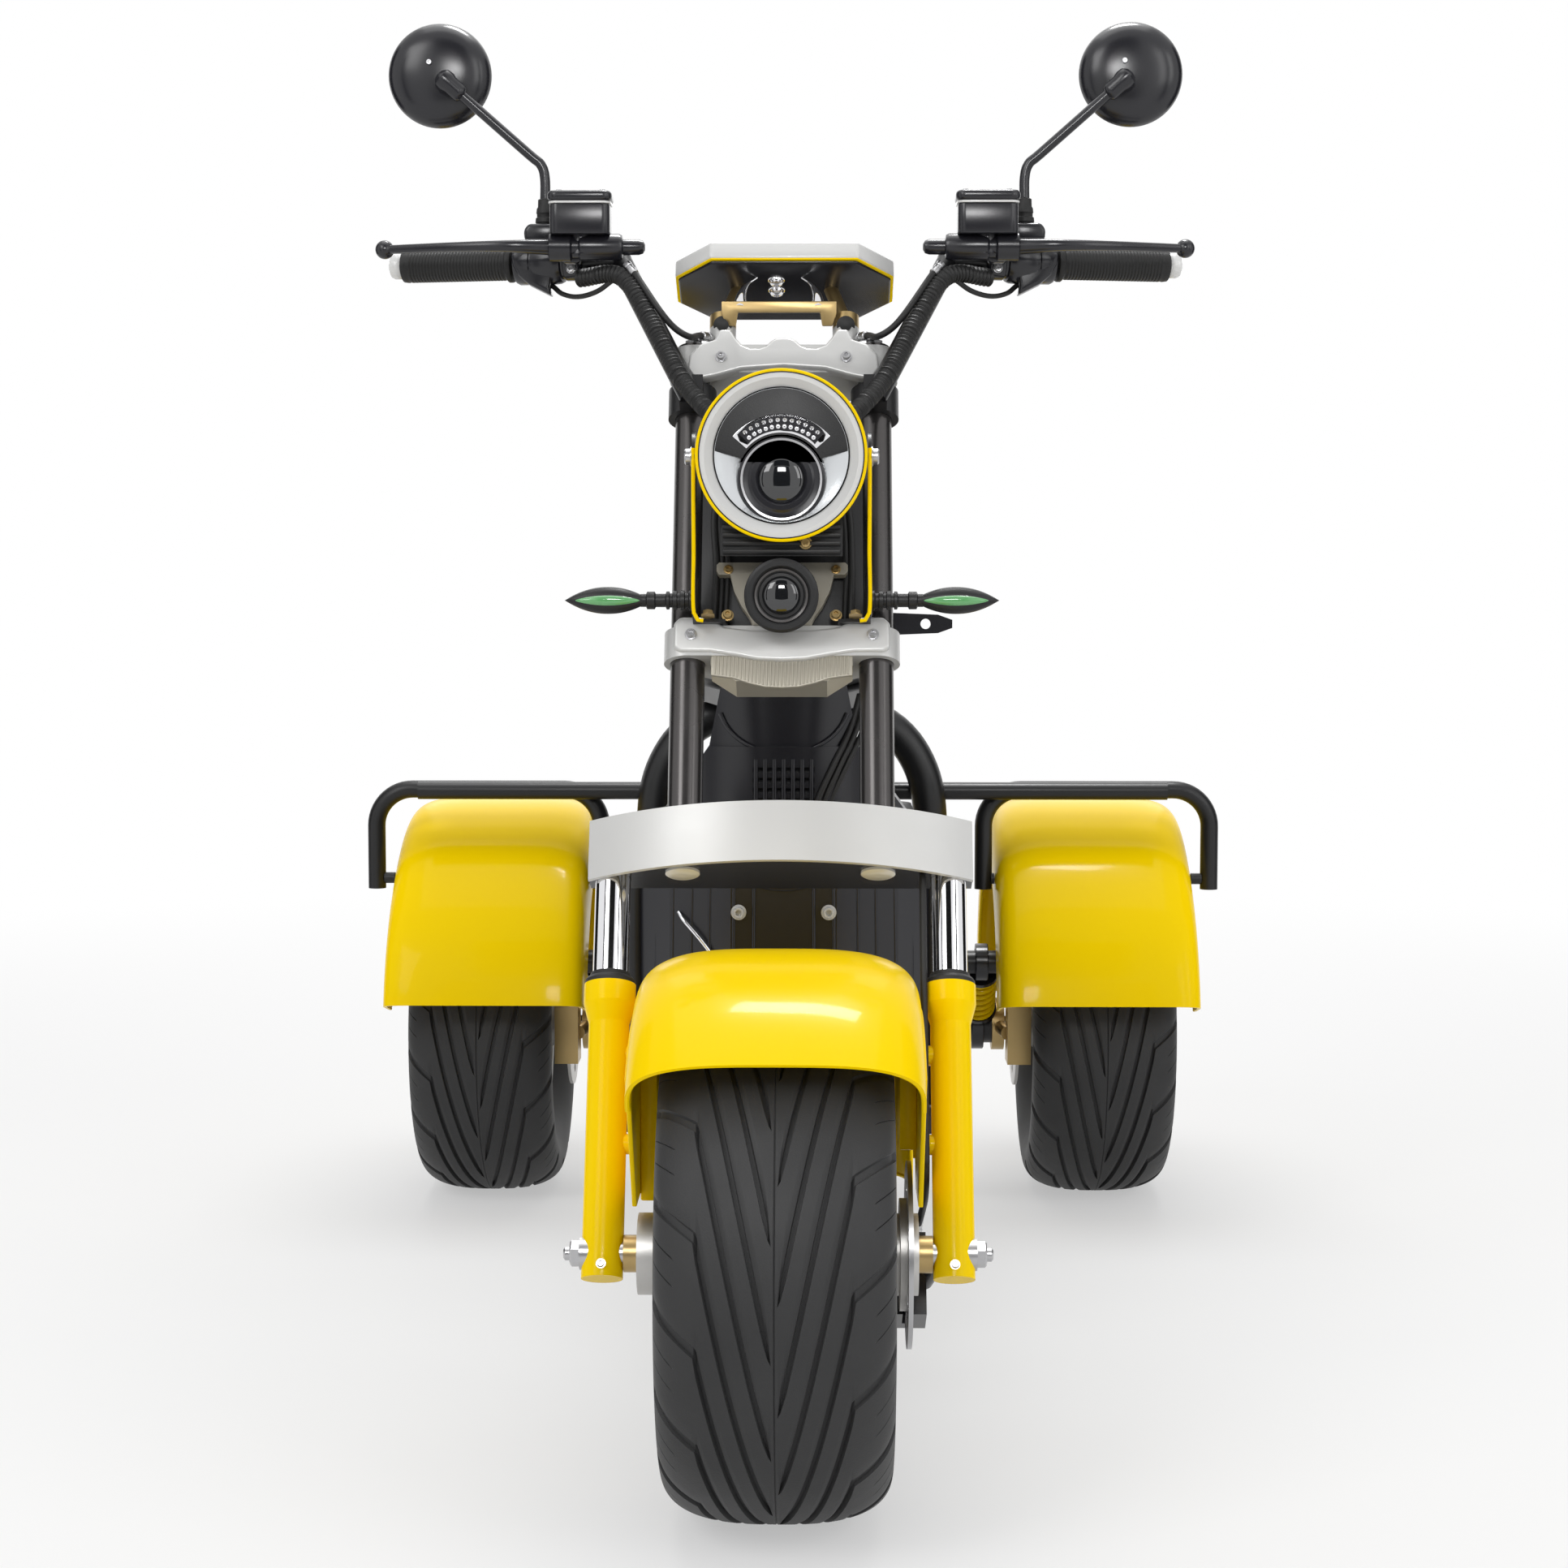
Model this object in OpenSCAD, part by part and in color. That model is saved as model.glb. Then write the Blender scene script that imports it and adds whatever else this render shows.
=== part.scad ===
// Electric trike with a raked twin-tube fork, fat tyres and boxed rear fenders.
// Millimetres, +Z up. The trike faces -Y and the rider's left is +X.
// The origin is on the floor, under the middle of the overall box.
// Places along the trike are measured back from the front axle.

/* [Wheels] */
// Outside diameter of the front tyre
front_tyre_d = 450; // [440:1:460]
// Section width of the front tyre
front_tyre_w = 195; // [180:1:200]
// Outside diameter of the rear tyres
rear_tyre_d = 434; // [424:1:444]
// Section width of the rear tyres
rear_tyre_w = 180; // [165:1:186]
// Bead seat diameter of all rims
rim_d = 254; // [244:1:264]
// Distance between front and rear axle
wheelbase = 1300; // [1280:1:1360]
// Distance between the rear tyres' middles
track = 784; // [780:1:800]
// Diameter of the front wheel's wide hub
front_hub_d = 70; // [64:1:76]
// Diameter of the brake discs
disc_d = 160; // [150:1:170]
// Thickness of the brake discs
disc_thick = 4; // [3:0.5:5]

/* [Fork] */
// Angle of the fork back from the vertical
rake = 25; // [23:0.5:27]
// Distance of the steering axis behind the fork tubes
steer_offset = 45; // [42:1:50]
// Distance between the fork legs' axes
leg_spacing = 302; // [296:1:310]
// Distance between the upper tubes' axes
upper_spacing = 175; // [170:1:180]
// Diameter of the sliding legs
lower_leg_d = 36; // [34:1:38]
// Diameter of the chromed tubes
stanchion_d = 32; // [30:1:33]
// Diameter of the upper fork tubes
upper_tube_d = 32; // [30:1:34]
// Height of the fork crown up the fork axis
crown_t = 340; // [336:1:350]
// Thickness of the fork crown
crown_thick = 48; // [44:1:54]
// Height of the lower clamp up the fork axis
low_clamp_t = 550; // [545:1:556]
// Thickness of both clamps
clamp_thick = 30; // [26:1:34]
// Height of the top clamp up the fork axis
top_clamp_t = 845; // [840:1:850]
// Diameter of the steering stem
stem_d = 26; // [24:1:28]

/* [Lamps] */
// Outside diameter of the headlamp's rim
headlamp_d = 156; // [150:1:158]
// Height of the headlamp's middle
headlamp_z = 915; // [910:1:920]
// Outside diameter of the lower lamp
low_lamp_d = 68; // [60:1:72]
// Height of the lower lamp's middle
low_lamp_z = 788; // [784:1:792]
// Length of an indicator's leaf-shaped body
indicator_l = 92; // [80:1:96]

/* [Handlebar] */
// Diameter of the bar tubes
bar_d = 22; // [20:1:23]
// Diameter of the grips
grip_d = 33; // [31:1:36]
// Length of a grip
grip_l = 116; // [106:1:120]
// Height of the grips
bar_z = 1112; // [1106:1:1120]
// Diameter of the round mirrors
mirror_d = 102; // [94:1:108]
// Width of the dash plate
dash_w = 215; // [205:1:222]

/* [Body] */
// Width of the floor deck
deck_w = 330; // [310:1:340]
// Width of the battery box
box_w = 290; // [280:1:300]
// Height of the battery box
box_h = 272; // [260:1:278]
// Width of the front shield
shield_w = 288; // [280:1:294]
// Width of the seat at its widest
seat_w = 246; // [236:1:250]
// Length of the seat
seat_l = 600; // [580:1:610]
// Thickness of the seat's padding
seat_thick = 66; // [56:1:76]

/* [Rear] */
// Radius of the rear fenders about the rear axle
fender_r = 298; // [290:1:304]
// Width of a rear fender
fender_w = 246; // [240:1:248]
// Wall of the fenders
fender_wall = 4; // [3:0.5:5]
// Diameter of the guard rail tubes
rail_tube_d = 22; // [20:1:22]
// Distance between the outer guard rail legs
rail_span = 1046; // [1044:1:1060]
// Height of the guard rails' top
rail_top_z = 537; // [532:1:544]
// Diameter of the rear axle tube
axle_tube_d = 50; // [46:1:54]

/* [Hidden] */
$fn = 48;
// Gap between pieces that fit together
fit = 0.3;
// Running gap at pins and bearings
pin_gap = 0.5;
// Length that cuts run past a face
overrun = 2;
// Swell of a tube's bent corners
joint_swell = 0.4;

front_r = front_tyre_d / 2;
rear_r = rear_tyre_d / 2;
rim_r = rim_d / 2;
overall_l = front_r + wheelbase + fender_r;
front_y = front_r - overall_l / 2;
upper_x = upper_spacing / 2;
leg_x = leg_spacing / 2;
wheel_x = track / 2;
disc_r = disc_d / 2;
stem_r = stem_d / 2;
upper_r = upper_tube_d / 2;
stanchion_r = stanchion_d / 2;
lower_r = lower_leg_d / 2;
bar_r = bar_d / 2;

// Place at a height t up the fork axis, q behind it
function fork_at(x, q, t) = [
  x,
  front_y + t * sin(rake) + q * cos(rake),
  front_r + t * cos(rake) - q * sin(rake)
];
// Place at a distance y behind the front axle
function at(x, y, z) = [x, front_y + y, z];
// Point between a and b by a share of the way
function between(a, b, way) = a + (b - a) * way;

module on_fork(t = 0) {
  translate([0, front_y, front_r]) rotate([-rake, 0, 0]) translate([0, 0, t]) children();
}
module pair() {
  children();
  mirror([1, 0, 0]) children();
}
module rod(a, b, r) {
  v = b - a;
  l = norm(v);
  translate(a) rotate([0, acos(v[2] / l), atan2(v[1], v[0])]) cylinder(h = l, r = r);
}
module run(points, r) {
  for (i = [0 : len(points) - 2]) rod(points[i], points[i + 1], r);
  for (i = [1 : len(points) - 2]) translate(points[i]) sphere(r = r + joint_swell);
}
// Turns a revolved shape's axis to X
module across(place) {
  translate(place) rotate([0, 90, 0]) children();
}
// Turns a revolved shape's axis to face the front
module facing(place) {
  translate(place) rotate([90, 0, 0]) children();
}
// Slab between x0 and x1 of a side outline drawn in (y, z)
module side_slab(x0, x1) {
  translate([x0, 0, 0]) rotate([90, 0, 90]) linear_extrude(x1 - x0) children();
}
module round_rect(w, h, r) {
  square([w - 2 * r, h], center = true);
  square([w, h - 2 * r], center = true);
  for (sx = [-1, 1], sy = [-1, 1]) translate([sx * (w / 2 - r), sy * (h / 2 - r)]) circle(r = r);
}

// Tyres and rims

tyre_round_share = 2 / 2.7;
bead_narrow_share = 0.2;
tyre_points = 28;
function signed_power(v, p) = sign(v) * pow(abs(v), p);
function tyre_point(a, r_mid, half_h, half_w) = [
  r_mid + half_h * signed_power(sin(a), tyre_round_share),
  half_w * signed_power(cos(a), tyre_round_share) * (1 - bead_narrow_share * max(0, -sin(a)))
];
module tyre_section(outer_r, width) {
  r_mid = (outer_r + rim_r) / 2;
  half_h = (outer_r - rim_r) / 2;
  polygon([for (i = [0 : tyre_points - 1])
    tyre_point(i * 360 / tyre_points, r_mid, half_h, width / 2)]);
}
module tyre(place, outer_r, width) {
  color("#202022") across(place) rotate_extrude() tyre_section(outer_r, width);
}
rim_wall = 9;
rim_flange = 8;
rim_flange_w = 7;
rim_width_share = 0.72;
spokes = 5;
spoke_thick = 22;
spoke_root_share = 0.46;
spoke_tip_share = 0.34;
function rim_half_w(width) = width / 2 * rim_width_share;
module rim_barrel(width) {
  half_w = rim_half_w(width);
  in_r = rim_r - fit - rim_wall;
  lip_r = rim_r + rim_flange;
  seat_w = half_w - rim_flange_w;
  rotate_extrude() polygon([
    [in_r, -half_w], [lip_r, -half_w], [lip_r, -seat_w], [rim_r - fit, -seat_w],
    [rim_r - fit, seat_w], [lip_r, seat_w], [lip_r, half_w], [in_r, half_w]
  ]);
}
module spoke_star(hub_r, z0) {
  tip_r = rim_r - rim_wall;
  for (i = [0 : spokes - 1]) rotate(i * 360 / spokes) translate([0, 0, z0])
    linear_extrude(spoke_thick) polygon([
      [hub_r * spoke_root_share, -hub_r * spoke_root_share],
      [tip_r, -tip_r * spoke_tip_share / 2],
      [tip_r, tip_r * spoke_tip_share / 2],
      [hub_r * spoke_root_share, hub_r * spoke_root_share]
    ]);
}
axle_r = 10;
hub_end_x = 120;
hub_flange_r = 48;
hub_flange_w = 6;
front_disc_x = 110;
module front_tyre() { tyre(at(0, 0, front_r), front_r, front_tyre_w); }
module front_rim() {
  color("#3a3b3d") across(at(0, 0, front_r)) difference() {
    union() {
      rim_barrel(front_tyre_w);
      spoke_star(front_hub_d / 2, -spoke_thick / 2);
      translate([0, 0, -hub_end_x]) cylinder(h = 2 * hub_end_x, d = front_hub_d);
      translate([0, 0, front_disc_x - hub_flange_w]) cylinder(h = hub_flange_w, r = hub_flange_r);
    }
    translate([0, 0, -hub_end_x - overrun]) cylinder(h = 2 * (hub_end_x + overrun), r = axle_r + pin_gap);
  }
}
disc_window_share = 0.72;
disc_windows = 6;
disc_hole_r = 8;
module disc_plate(bore_r) {
  difference() {
    cylinder(h = disc_thick, r = disc_r);
    translate([0, 0, -overrun]) cylinder(h = disc_thick + 2 * overrun, r = bore_r);
    for (i = [0 : disc_windows - 1]) rotate(i * 360 / disc_windows)
      translate([disc_r * disc_window_share, 0, -overrun])
        cylinder(h = disc_thick + 2 * overrun, r = disc_hole_r);
  }
}
module front_disc() {
  color("#b9bbbd") across(at(front_disc_x, 0, front_r)) disc_plate(front_hub_d / 2 + fit);
}
rear_hub_r = 30;
rear_disc_x = 288;
rear_hub_out = 62;
module rear_rim(side) {
  hub_in = rear_disc_x - wheel_x;
  color("#3a3b3d") mirror([side < 0 ? 1 : 0, 0, 0]) across(at(wheel_x, wheelbase, rear_r)) difference() {
    union() {
      rim_barrel(rear_tyre_w);
      spoke_star(rear_hub_r, rim_half_w(rear_tyre_w) - spoke_thick - rim_flange_w);
      translate([0, 0, hub_in]) cylinder(h = rear_hub_out - hub_in, r = rear_hub_r);
      translate([0, 0, hub_in]) disc_plate(rear_hub_r - overrun);
    }
    translate([0, 0, hub_in - overrun]) cylinder(h = rear_hub_out - hub_in + 2 * overrun, r = axle_r + pin_gap);
  }
}
module rear_tyre(side) { tyre(at(side * wheel_x, wheelbase, rear_r), rear_r, rear_tyre_w); }
module rear_tyre_left() { rear_tyre(1); }
module rear_tyre_right() { rear_tyre(-1); }
module rear_rim_left() { rear_rim(1); }
module rear_rim_right() { rear_rim(-1); }

// Fork, from the axle up

leg_bottom_t = -22;
leg_top_t = 240;
leg_flare = 5;
leg_flare_h = 18;
stanchion_bottom_t = 162;
spacer_r = 16;
axle_tip_x = leg_x + sqrt(lower_r * lower_r - axle_r * axle_r);
module front_axle() {
  color("#b08d4a") {
    across(at(-axle_tip_x, 0, front_r)) cylinder(h = 2 * axle_tip_x, r = axle_r);
    pair() across(at(hub_end_x + pin_gap, 0, front_r))
      cylinder(h = leg_x - lower_r - hub_end_x - 2 * pin_gap, r = spacer_r);
  }
}
module leg_solid(gap = 0) {
  translate([leg_x, 0, leg_bottom_t]) cylinder(h = leg_top_t - leg_bottom_t, r = lower_r + gap);
  translate([leg_x, 0, leg_top_t - leg_flare_h]) cylinder(h = leg_flare_h, r = lower_r + leg_flare + gap);
  translate([leg_x, 0, leg_top_t - 2 * leg_flare_h])
    cylinder(h = leg_flare_h, r1 = lower_r + gap, r2 = lower_r + leg_flare + gap);
}
module fork_lowers() {
  color("#f2c500") pair() difference() {
    on_fork() leg_solid();
    on_fork(stanchion_bottom_t) translate([leg_x, 0, -fit])
      cylinder(h = leg_top_t - stanchion_bottom_t + overrun, r = stanchion_r + fit);
    across(at(0, 0, front_r)) cylinder(h = leg_spacing, r = axle_r + fit);
  }
}
module stanchions() {
  color("#d5d8da") on_fork(stanchion_bottom_t) pair() translate([leg_x, 0, 0])
    cylinder(h = crown_t + crown_thick - stanchion_bottom_t, r = stanchion_r);
}
crown_bow = 55;
crown_front_q = -65;
crown_back_q = 26;
crown_ear = 6;
crown_half_w = leg_x + stanchion_r + crown_ear;
crown_arc_r = (crown_half_w * crown_half_w + crown_bow * crown_bow) / (2 * crown_bow);
cover_wall = 5;
cover_lip = 4;
cover_end_q = 6;
module crown_outline(inset, back_q) {
  intersection() {
    translate([0, crown_front_q + crown_arc_r]) circle(r = crown_arc_r - inset, $fn = 96);
    translate([-crown_half_w, crown_front_q]) square([2 * crown_half_w, back_q - crown_front_q]);
  }
}
module fork_crown() {
  color("#17181a") on_fork(crown_t) difference() {
    linear_extrude(crown_thick) crown_outline(cover_wall + fit, crown_back_q);
    translate([0, 0, -overrun]) linear_extrude(crown_thick + 2 * overrun) pair() {
      translate([leg_x, 0]) circle(r = stanchion_r + fit);
      translate([upper_x, 0]) circle(r = upper_r + fit);
    }
  }
}
module crown_cover() {
  color("#dcdcd9") on_fork(crown_t - cover_lip) difference() {
    linear_extrude(crown_thick + 2 * cover_lip) crown_outline(0, cover_end_q);
    translate([0, 0, -overrun]) linear_extrude(crown_thick + 2 * cover_lip + 2 * overrun) {
      crown_outline(cover_wall, cover_end_q + overrun);
      pair() translate([leg_x, 0]) circle(r = stanchion_r + fit);
    }
  }
}
tube_over = 6;
upper_top_t = top_clamp_t + clamp_thick + tube_over;
module upper_tubes() {
  color("#55575a") on_fork(crown_t) pair() translate([upper_x, 0, 0])
    cylinder(h = upper_top_t - crown_t, r = upper_r);
}
clamp_ear_r = 22;
clamp_hub_r = 30;
clamp_waist_share = 0.8;
module clamp_outline() {
  pair() translate([upper_x, 0]) circle(r = clamp_ear_r);
  translate([0, steer_offset]) circle(r = clamp_hub_r);
  polygon([
    [-upper_x, -clamp_ear_r], [upper_x, -clamp_ear_r], [upper_x, clamp_ear_r],
    [clamp_hub_r * clamp_waist_share, steer_offset + clamp_hub_r / 2],
    [-clamp_hub_r * clamp_waist_share, steer_offset + clamp_hub_r / 2], [-upper_x, clamp_ear_r]
  ]);
}
module tube_bores(h) {
  pair() translate([upper_x, 0, -overrun]) cylinder(h = h + 2 * overrun, r = upper_r + fit);
}
stem_over = 8;
stem_top_t = top_clamp_t + clamp_thick + stem_over;
skirt_drop = 24;
skirt_front_q = -18;
skirt_back_q = 20;
skirt_gap = 6;
skirt_low_share = 0.64;
module lower_clamp() {
  skirt_half_w = upper_x - upper_r - skirt_gap;
  color("#dcdcd9") on_fork(low_clamp_t) {
    difference() {
      linear_extrude(clamp_thick) clamp_outline();
      tube_bores(clamp_thick);
    }
    translate([0, steer_offset, 0]) cylinder(h = stem_top_t - low_clamp_t, r = stem_r);
    translate([0, skirt_back_q, 0]) rotate([90, 0, 0]) linear_extrude(skirt_back_q - skirt_front_q)
      polygon([
        [-skirt_half_w, overrun], [skirt_half_w, overrun], [skirt_half_w, -skirt_drop / 3],
        [skirt_half_w * skirt_low_share, -skirt_drop], [-skirt_half_w * skirt_low_share, -skirt_drop],
        [-skirt_half_w, -skirt_drop / 3]
      ]);
  }
}
horn_x = 60;
horn_q = 14;
horn_r = 13;
horn_h = 36;
horn_foot_r = 24;
horn_foot_h = 16;
module top_clamp() {
  color("#dcdcd9") on_fork(top_clamp_t) difference() {
    union() {
      linear_extrude(clamp_thick) clamp_outline();
      pair() translate([horn_x, horn_q, 0]) {
        cylinder(h = clamp_thick + horn_h, r = horn_r);
        translate([0, 0, clamp_thick - overrun])
          cylinder(h = horn_foot_h + overrun, r1 = horn_foot_r, r2 = horn_r);
      }
    }
    tube_bores(clamp_thick + horn_foot_h);
    translate([0, steer_offset, -overrun])
      cylinder(h = clamp_thick + horn_foot_h + 2 * overrun, r = stem_r + fit);
  }
}

// Front fender and brake

ff_r = 262;
ff_half_w = 122;
ff_wall = 3;
ff_front_deg = 48;
ff_rear_deg = 176;
ff_bow_share = 0.6;
ff_rim_drop = 62;
stay_bottom_z = 274;
stay_half_l = 36;
stay_lap = 12;
stay_proud = 1;
stay_from_deg = 55;
stay_to_deg = 132;
stay_step_deg = 11;
boss_r = 8;
boss_t = [96, 176];
section_steps = 16;
// A fender's section from one skirt over the rounded top to the other, as [radius, across]
function fender_line(half_w, r, drop, bow_share) = [for (i = [0 : section_steps])
  let (a = -90 + 180 * i / section_steps)
  [r - drop + drop * signed_power(cos(a), bow_share), half_w * signed_power(sin(a), bow_share)]
];
function reversed(list) = [for (i = [len(list) - 1 : -1 : 0]) list[i]];
module fender_section(half_w, r, wall, drop, bow_share) {
  polygon(concat(
    fender_line(half_w, r, drop, bow_share),
    reversed(fender_line(half_w - wall, r - wall, drop - wall, bow_share))
  ));
}
// Arc of a section about an axle, from the front over the top, in degrees above the front
module fender_arc(place, from_deg, to_deg) {
  translate(place) rotate([90, 0, 90]) rotate(180 - to_deg) rotate_extrude(angle = to_deg - from_deg, $fn = 96)
    children();
}
module front_fender() {
  stay_r = ff_r - ff_rim_drop + stay_lap;
  color("#f2c500") difference() {
    union() {
      fender_arc(at(0, 0, front_r), ff_front_deg, ff_rear_deg)
        fender_section(ff_half_w, ff_r, ff_wall, ff_rim_drop, ff_bow_share);
      pair() translate([0, front_y, 0]) side_slab(ff_half_w - ff_wall - stay_proud, ff_half_w + stay_proud)
        polygon(concat(
          [[stay_half_l, stay_bottom_z], [-stay_half_l, stay_bottom_z]],
          [for (a = [stay_from_deg : stay_step_deg : stay_to_deg])
            [-stay_r * cos(a), front_r + stay_r * sin(a)]]
        ));
      pair() for (t = boss_t) across(fork_at(ff_half_w - ff_wall / 2, 0, t))
        cylinder(h = leg_x - ff_half_w + ff_wall / 2, r = boss_r);
    }
    on_fork() pair() leg_solid(fit);
  }
}
caliper_deg = 30;
caliper_arm_r = 9;
caliper_l = 74;
caliper_h = 46;
caliper_w = 34;
caliper_gap = 2;
caliper_slot_share = 0.7;
module caliper(w, slot_depth) {
  difference() {
    translate([-w / 2, -caliper_l / 2, -caliper_h / 2]) cube([w, caliper_l, caliper_h]);
    translate([-disc_thick / 2 - caliper_gap, -caliper_l / 2 - overrun, -caliper_h / 2 - overrun])
      cube([disc_thick + 2 * caliper_gap, caliper_l + 2 * overrun, slot_depth]);
  }
}
module front_caliper() {
  mid = at(front_disc_x + disc_thick / 2, 0, front_r);
  caliper_place = mid + disc_r * [0, cos(caliper_deg), -sin(caliper_deg)];
  color("#1d1d1f") difference() {
    union() {
      translate(mid) rotate([-90 - caliper_deg, 0, 0]) translate([0, 0, disc_r])
        caliper(caliper_w, caliper_h * caliper_slot_share);
      rod(fork_at(leg_x, 0, lower_r), caliper_place + [caliper_w / 2 - overrun, 0, 0], caliper_arm_r);
    }
    on_fork() leg_solid(fit);
  }
}

// Lamps and their brackets

plate_x = 79;
plate_wall = 3;
clamp_front_q = -clamp_ear_r - fit;
clamp_top_t = low_clamp_t + clamp_thick + fit;
lamp_y = 186;
bucket_depth = 92;
bucket_r = 73;
lamp_boss_r = 9;
lamp_boss_back = 34;
plate_eye_r = 22;
plate_back_q = -upper_r - fit;
plate_foot_l = 27;
plate_tab_x = 52;
rim_depth = 14;
module plate_outline() {
  lamp_q = (lamp_y + lamp_boss_back) * cos(rake) - (headlamp_z - front_r) * sin(rake);
  lamp_t = (lamp_y + lamp_boss_back) * sin(rake) + (headlamp_z - front_r) * cos(rake);
  translate([lamp_q, lamp_t]) circle(r = plate_eye_r);
  polygon([
    [plate_back_q, clamp_top_t], [lamp_q + plate_eye_r, lamp_t], [lamp_q - plate_eye_r, lamp_t],
    [plate_back_q - plate_foot_l, clamp_top_t]
  ]);
}
// Side plates that carry the headlamp, with a foot turned in over the lower clamp
module lamp_plates() {
  foot_front_q = plate_back_q - plate_foot_l / 2;
  color("#1c1c1e") on_fork() pair() {
    side_slab(plate_x, plate_x + plate_wall) plate_outline();
    translate([plate_tab_x, foot_front_q, clamp_top_t])
      cube([plate_x + plate_wall - plate_tab_x, plate_back_q - foot_front_q, plate_wall]);
  }
}
low_lamp_front_y = 190;
low_lamp_depth = 60;
low_lamp_back_share = 0.9;
cast_half_w = 61;
cast_wall = 8;
cast_h = 62;
cast_back_q = -18;
// Half outline of the lamp bracket: shares of its half width and height
cast_shares = [[0.44, 0], [0.5, 0.12], [0.62, 0.3], [0.73, 0.54], [0.79, 0.8], [0.96, 0.8], [1, 0.86], [1, 0.96], [0.96, 1]];
module cast_outline() {
  half = [for (p = cast_shares) [p[0] * cast_half_w, p[1] * cast_h]];
  polygon(concat(half, reversed([for (p = half) [-p[0], p[1]]])));
}
module lamp_bracket() {
  color("#c9c4b4") on_fork(clamp_top_t) translate([0, cast_back_q, 0]) rotate([90, 0, 0])
    linear_extrude(cast_wall) cast_outline();
}
// Bucket from its closed back to the rim: shares of its radius and depth
bucket_shares = [[0, 1], [0.5, 0.97], [0.86, 0.66], [1, 0.25]];
block_half_w = 56;
block_front = 22;
block_l = 40;
block_z = 824;
module headlamp_bucket() {
  color("#1a1a1c") {
    facing(at(0, lamp_y, headlamp_z)) rotate_extrude() polygon(concat(
      [for (p = bucket_shares) [p[0] * bucket_r, -p[1] * bucket_depth]],
      [[bucket_r, -rim_depth], [0, -rim_depth]]
    ));
    across(at(-plate_x + fit, lamp_y + lamp_boss_back, headlamp_z))
      cylinder(h = 2 * (plate_x - fit), r = lamp_boss_r);
    translate(at(-block_half_w, lamp_y + block_front, block_z))
      cube([2 * block_half_w, block_l, headlamp_z - bucket_r / 2 - block_z]);
  }
}
bezel_in_share = 0.8;
// Rim from its outer edge over the front to its inner edge: shares of its radius and depth
bezel_shares = [[1, 0.3], [0.97, 0], [0.9, 0], [bezel_in_share, 0.6]];
module headlamp_rim() {
  r = headlamp_d / 2;
  color("#e3e2de") facing(at(0, lamp_y, headlamp_z)) rotate_extrude() polygon(concat(
    [[r * bezel_in_share, -rim_depth + fit], [r, -rim_depth + fit]],
    [for (p = bezel_shares) [p[0] * r, -p[1] * rim_depth]]
  ));
}
insert_depth_share = 0.3;
projector_depth_share = 0.7;
projector_share = 0.55;
projector_drop_share = 0.42;
module headlamp_insert() {
  r = headlamp_d / 2 * bezel_in_share - fit;
  color("#26282b") facing(at(0, lamp_y, headlamp_z)) translate([0, 0, -rim_depth + fit]) {
    cylinder(h = rim_depth * insert_depth_share, r = r);
    translate([0, -r * projector_drop_share, 0])
      cylinder(h = rim_depth * projector_depth_share, r = r * projector_share);
  }
}
// Lower lamp from its body over the ring to its middle: shares of its radius, along and across
low_lamp_shares = [[low_lamp_back_share, 0.5], [1, 0.4], [1, 0], [0.82, 0], [0.7, 0.16], [0.5, 0.06], [0, 0]];
module lower_lamp() {
  r = low_lamp_d / 2;
  color("#1a1a1c") difference() {
    facing(at(0, low_lamp_front_y, low_lamp_z)) rotate_extrude() polygon(concat(
      [[0, -low_lamp_depth], [r * low_lamp_back_share, -low_lamp_depth]],
      [for (p = low_lamp_shares) [p[0] * r, -p[1] * r]]
    ));
    on_fork(low_clamp_t) translate([-low_lamp_d, cast_back_q - cast_wall - fit, -low_lamp_d])
      cube([2 * low_lamp_d, 2 * low_lamp_d, 4 * low_lamp_d]);
  }
}
indicator_h = 26;
indicator_d = 22;
indicator_stalk_l = 34;
indicator_stalk_share = 0.24;
indicator_lap_share = 0.3;
indicator_q = -34;
indicator_t = 600;
module front_indicators() {
  leaf_r = (indicator_l * indicator_l / 4 + indicator_h * indicator_h / 4) / indicator_h;
  color("#1c1d1e") pair() {
    p = fork_at(plate_x + plate_wall + fit, indicator_q, indicator_t);
    across(p) cylinder(h = indicator_stalk_l, r = indicator_h * indicator_stalk_share);
    translate(p + [indicator_stalk_l + indicator_l / 2 - indicator_h * indicator_lap_share, indicator_d / 2, 0])
      rotate([90, 0, 0])
      linear_extrude(indicator_d) intersection() {
        translate([0, leaf_r - indicator_h / 2]) circle(r = leaf_r, $fn = 96);
        translate([0, indicator_h / 2 - leaf_r]) circle(r = leaf_r, $fn = 96);
      }
  }
}

// Handlebar and what it carries

bar_base_q = -36;
bar_base_t = 820;
bar_elbow_x = 160;
bar_elbow_y = 400;
grip_in_x = 266;
bar_sweep_deg = 12;
grip_in_y = bar_elbow_y + (grip_in_x - bar_elbow_x) * tan(bar_sweep_deg);
clip_h = 30;
clip_r = 23;
bar_end_over = 8;
bar_way = [cos(bar_sweep_deg), sin(bar_sweep_deg), 0];
grip_start = at(grip_in_x, grip_in_y, bar_z);
bar_elbow = at(bar_elbow_x, bar_elbow_y, bar_z);
function bar_at(l) = grip_start + bar_way * l;
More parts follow.
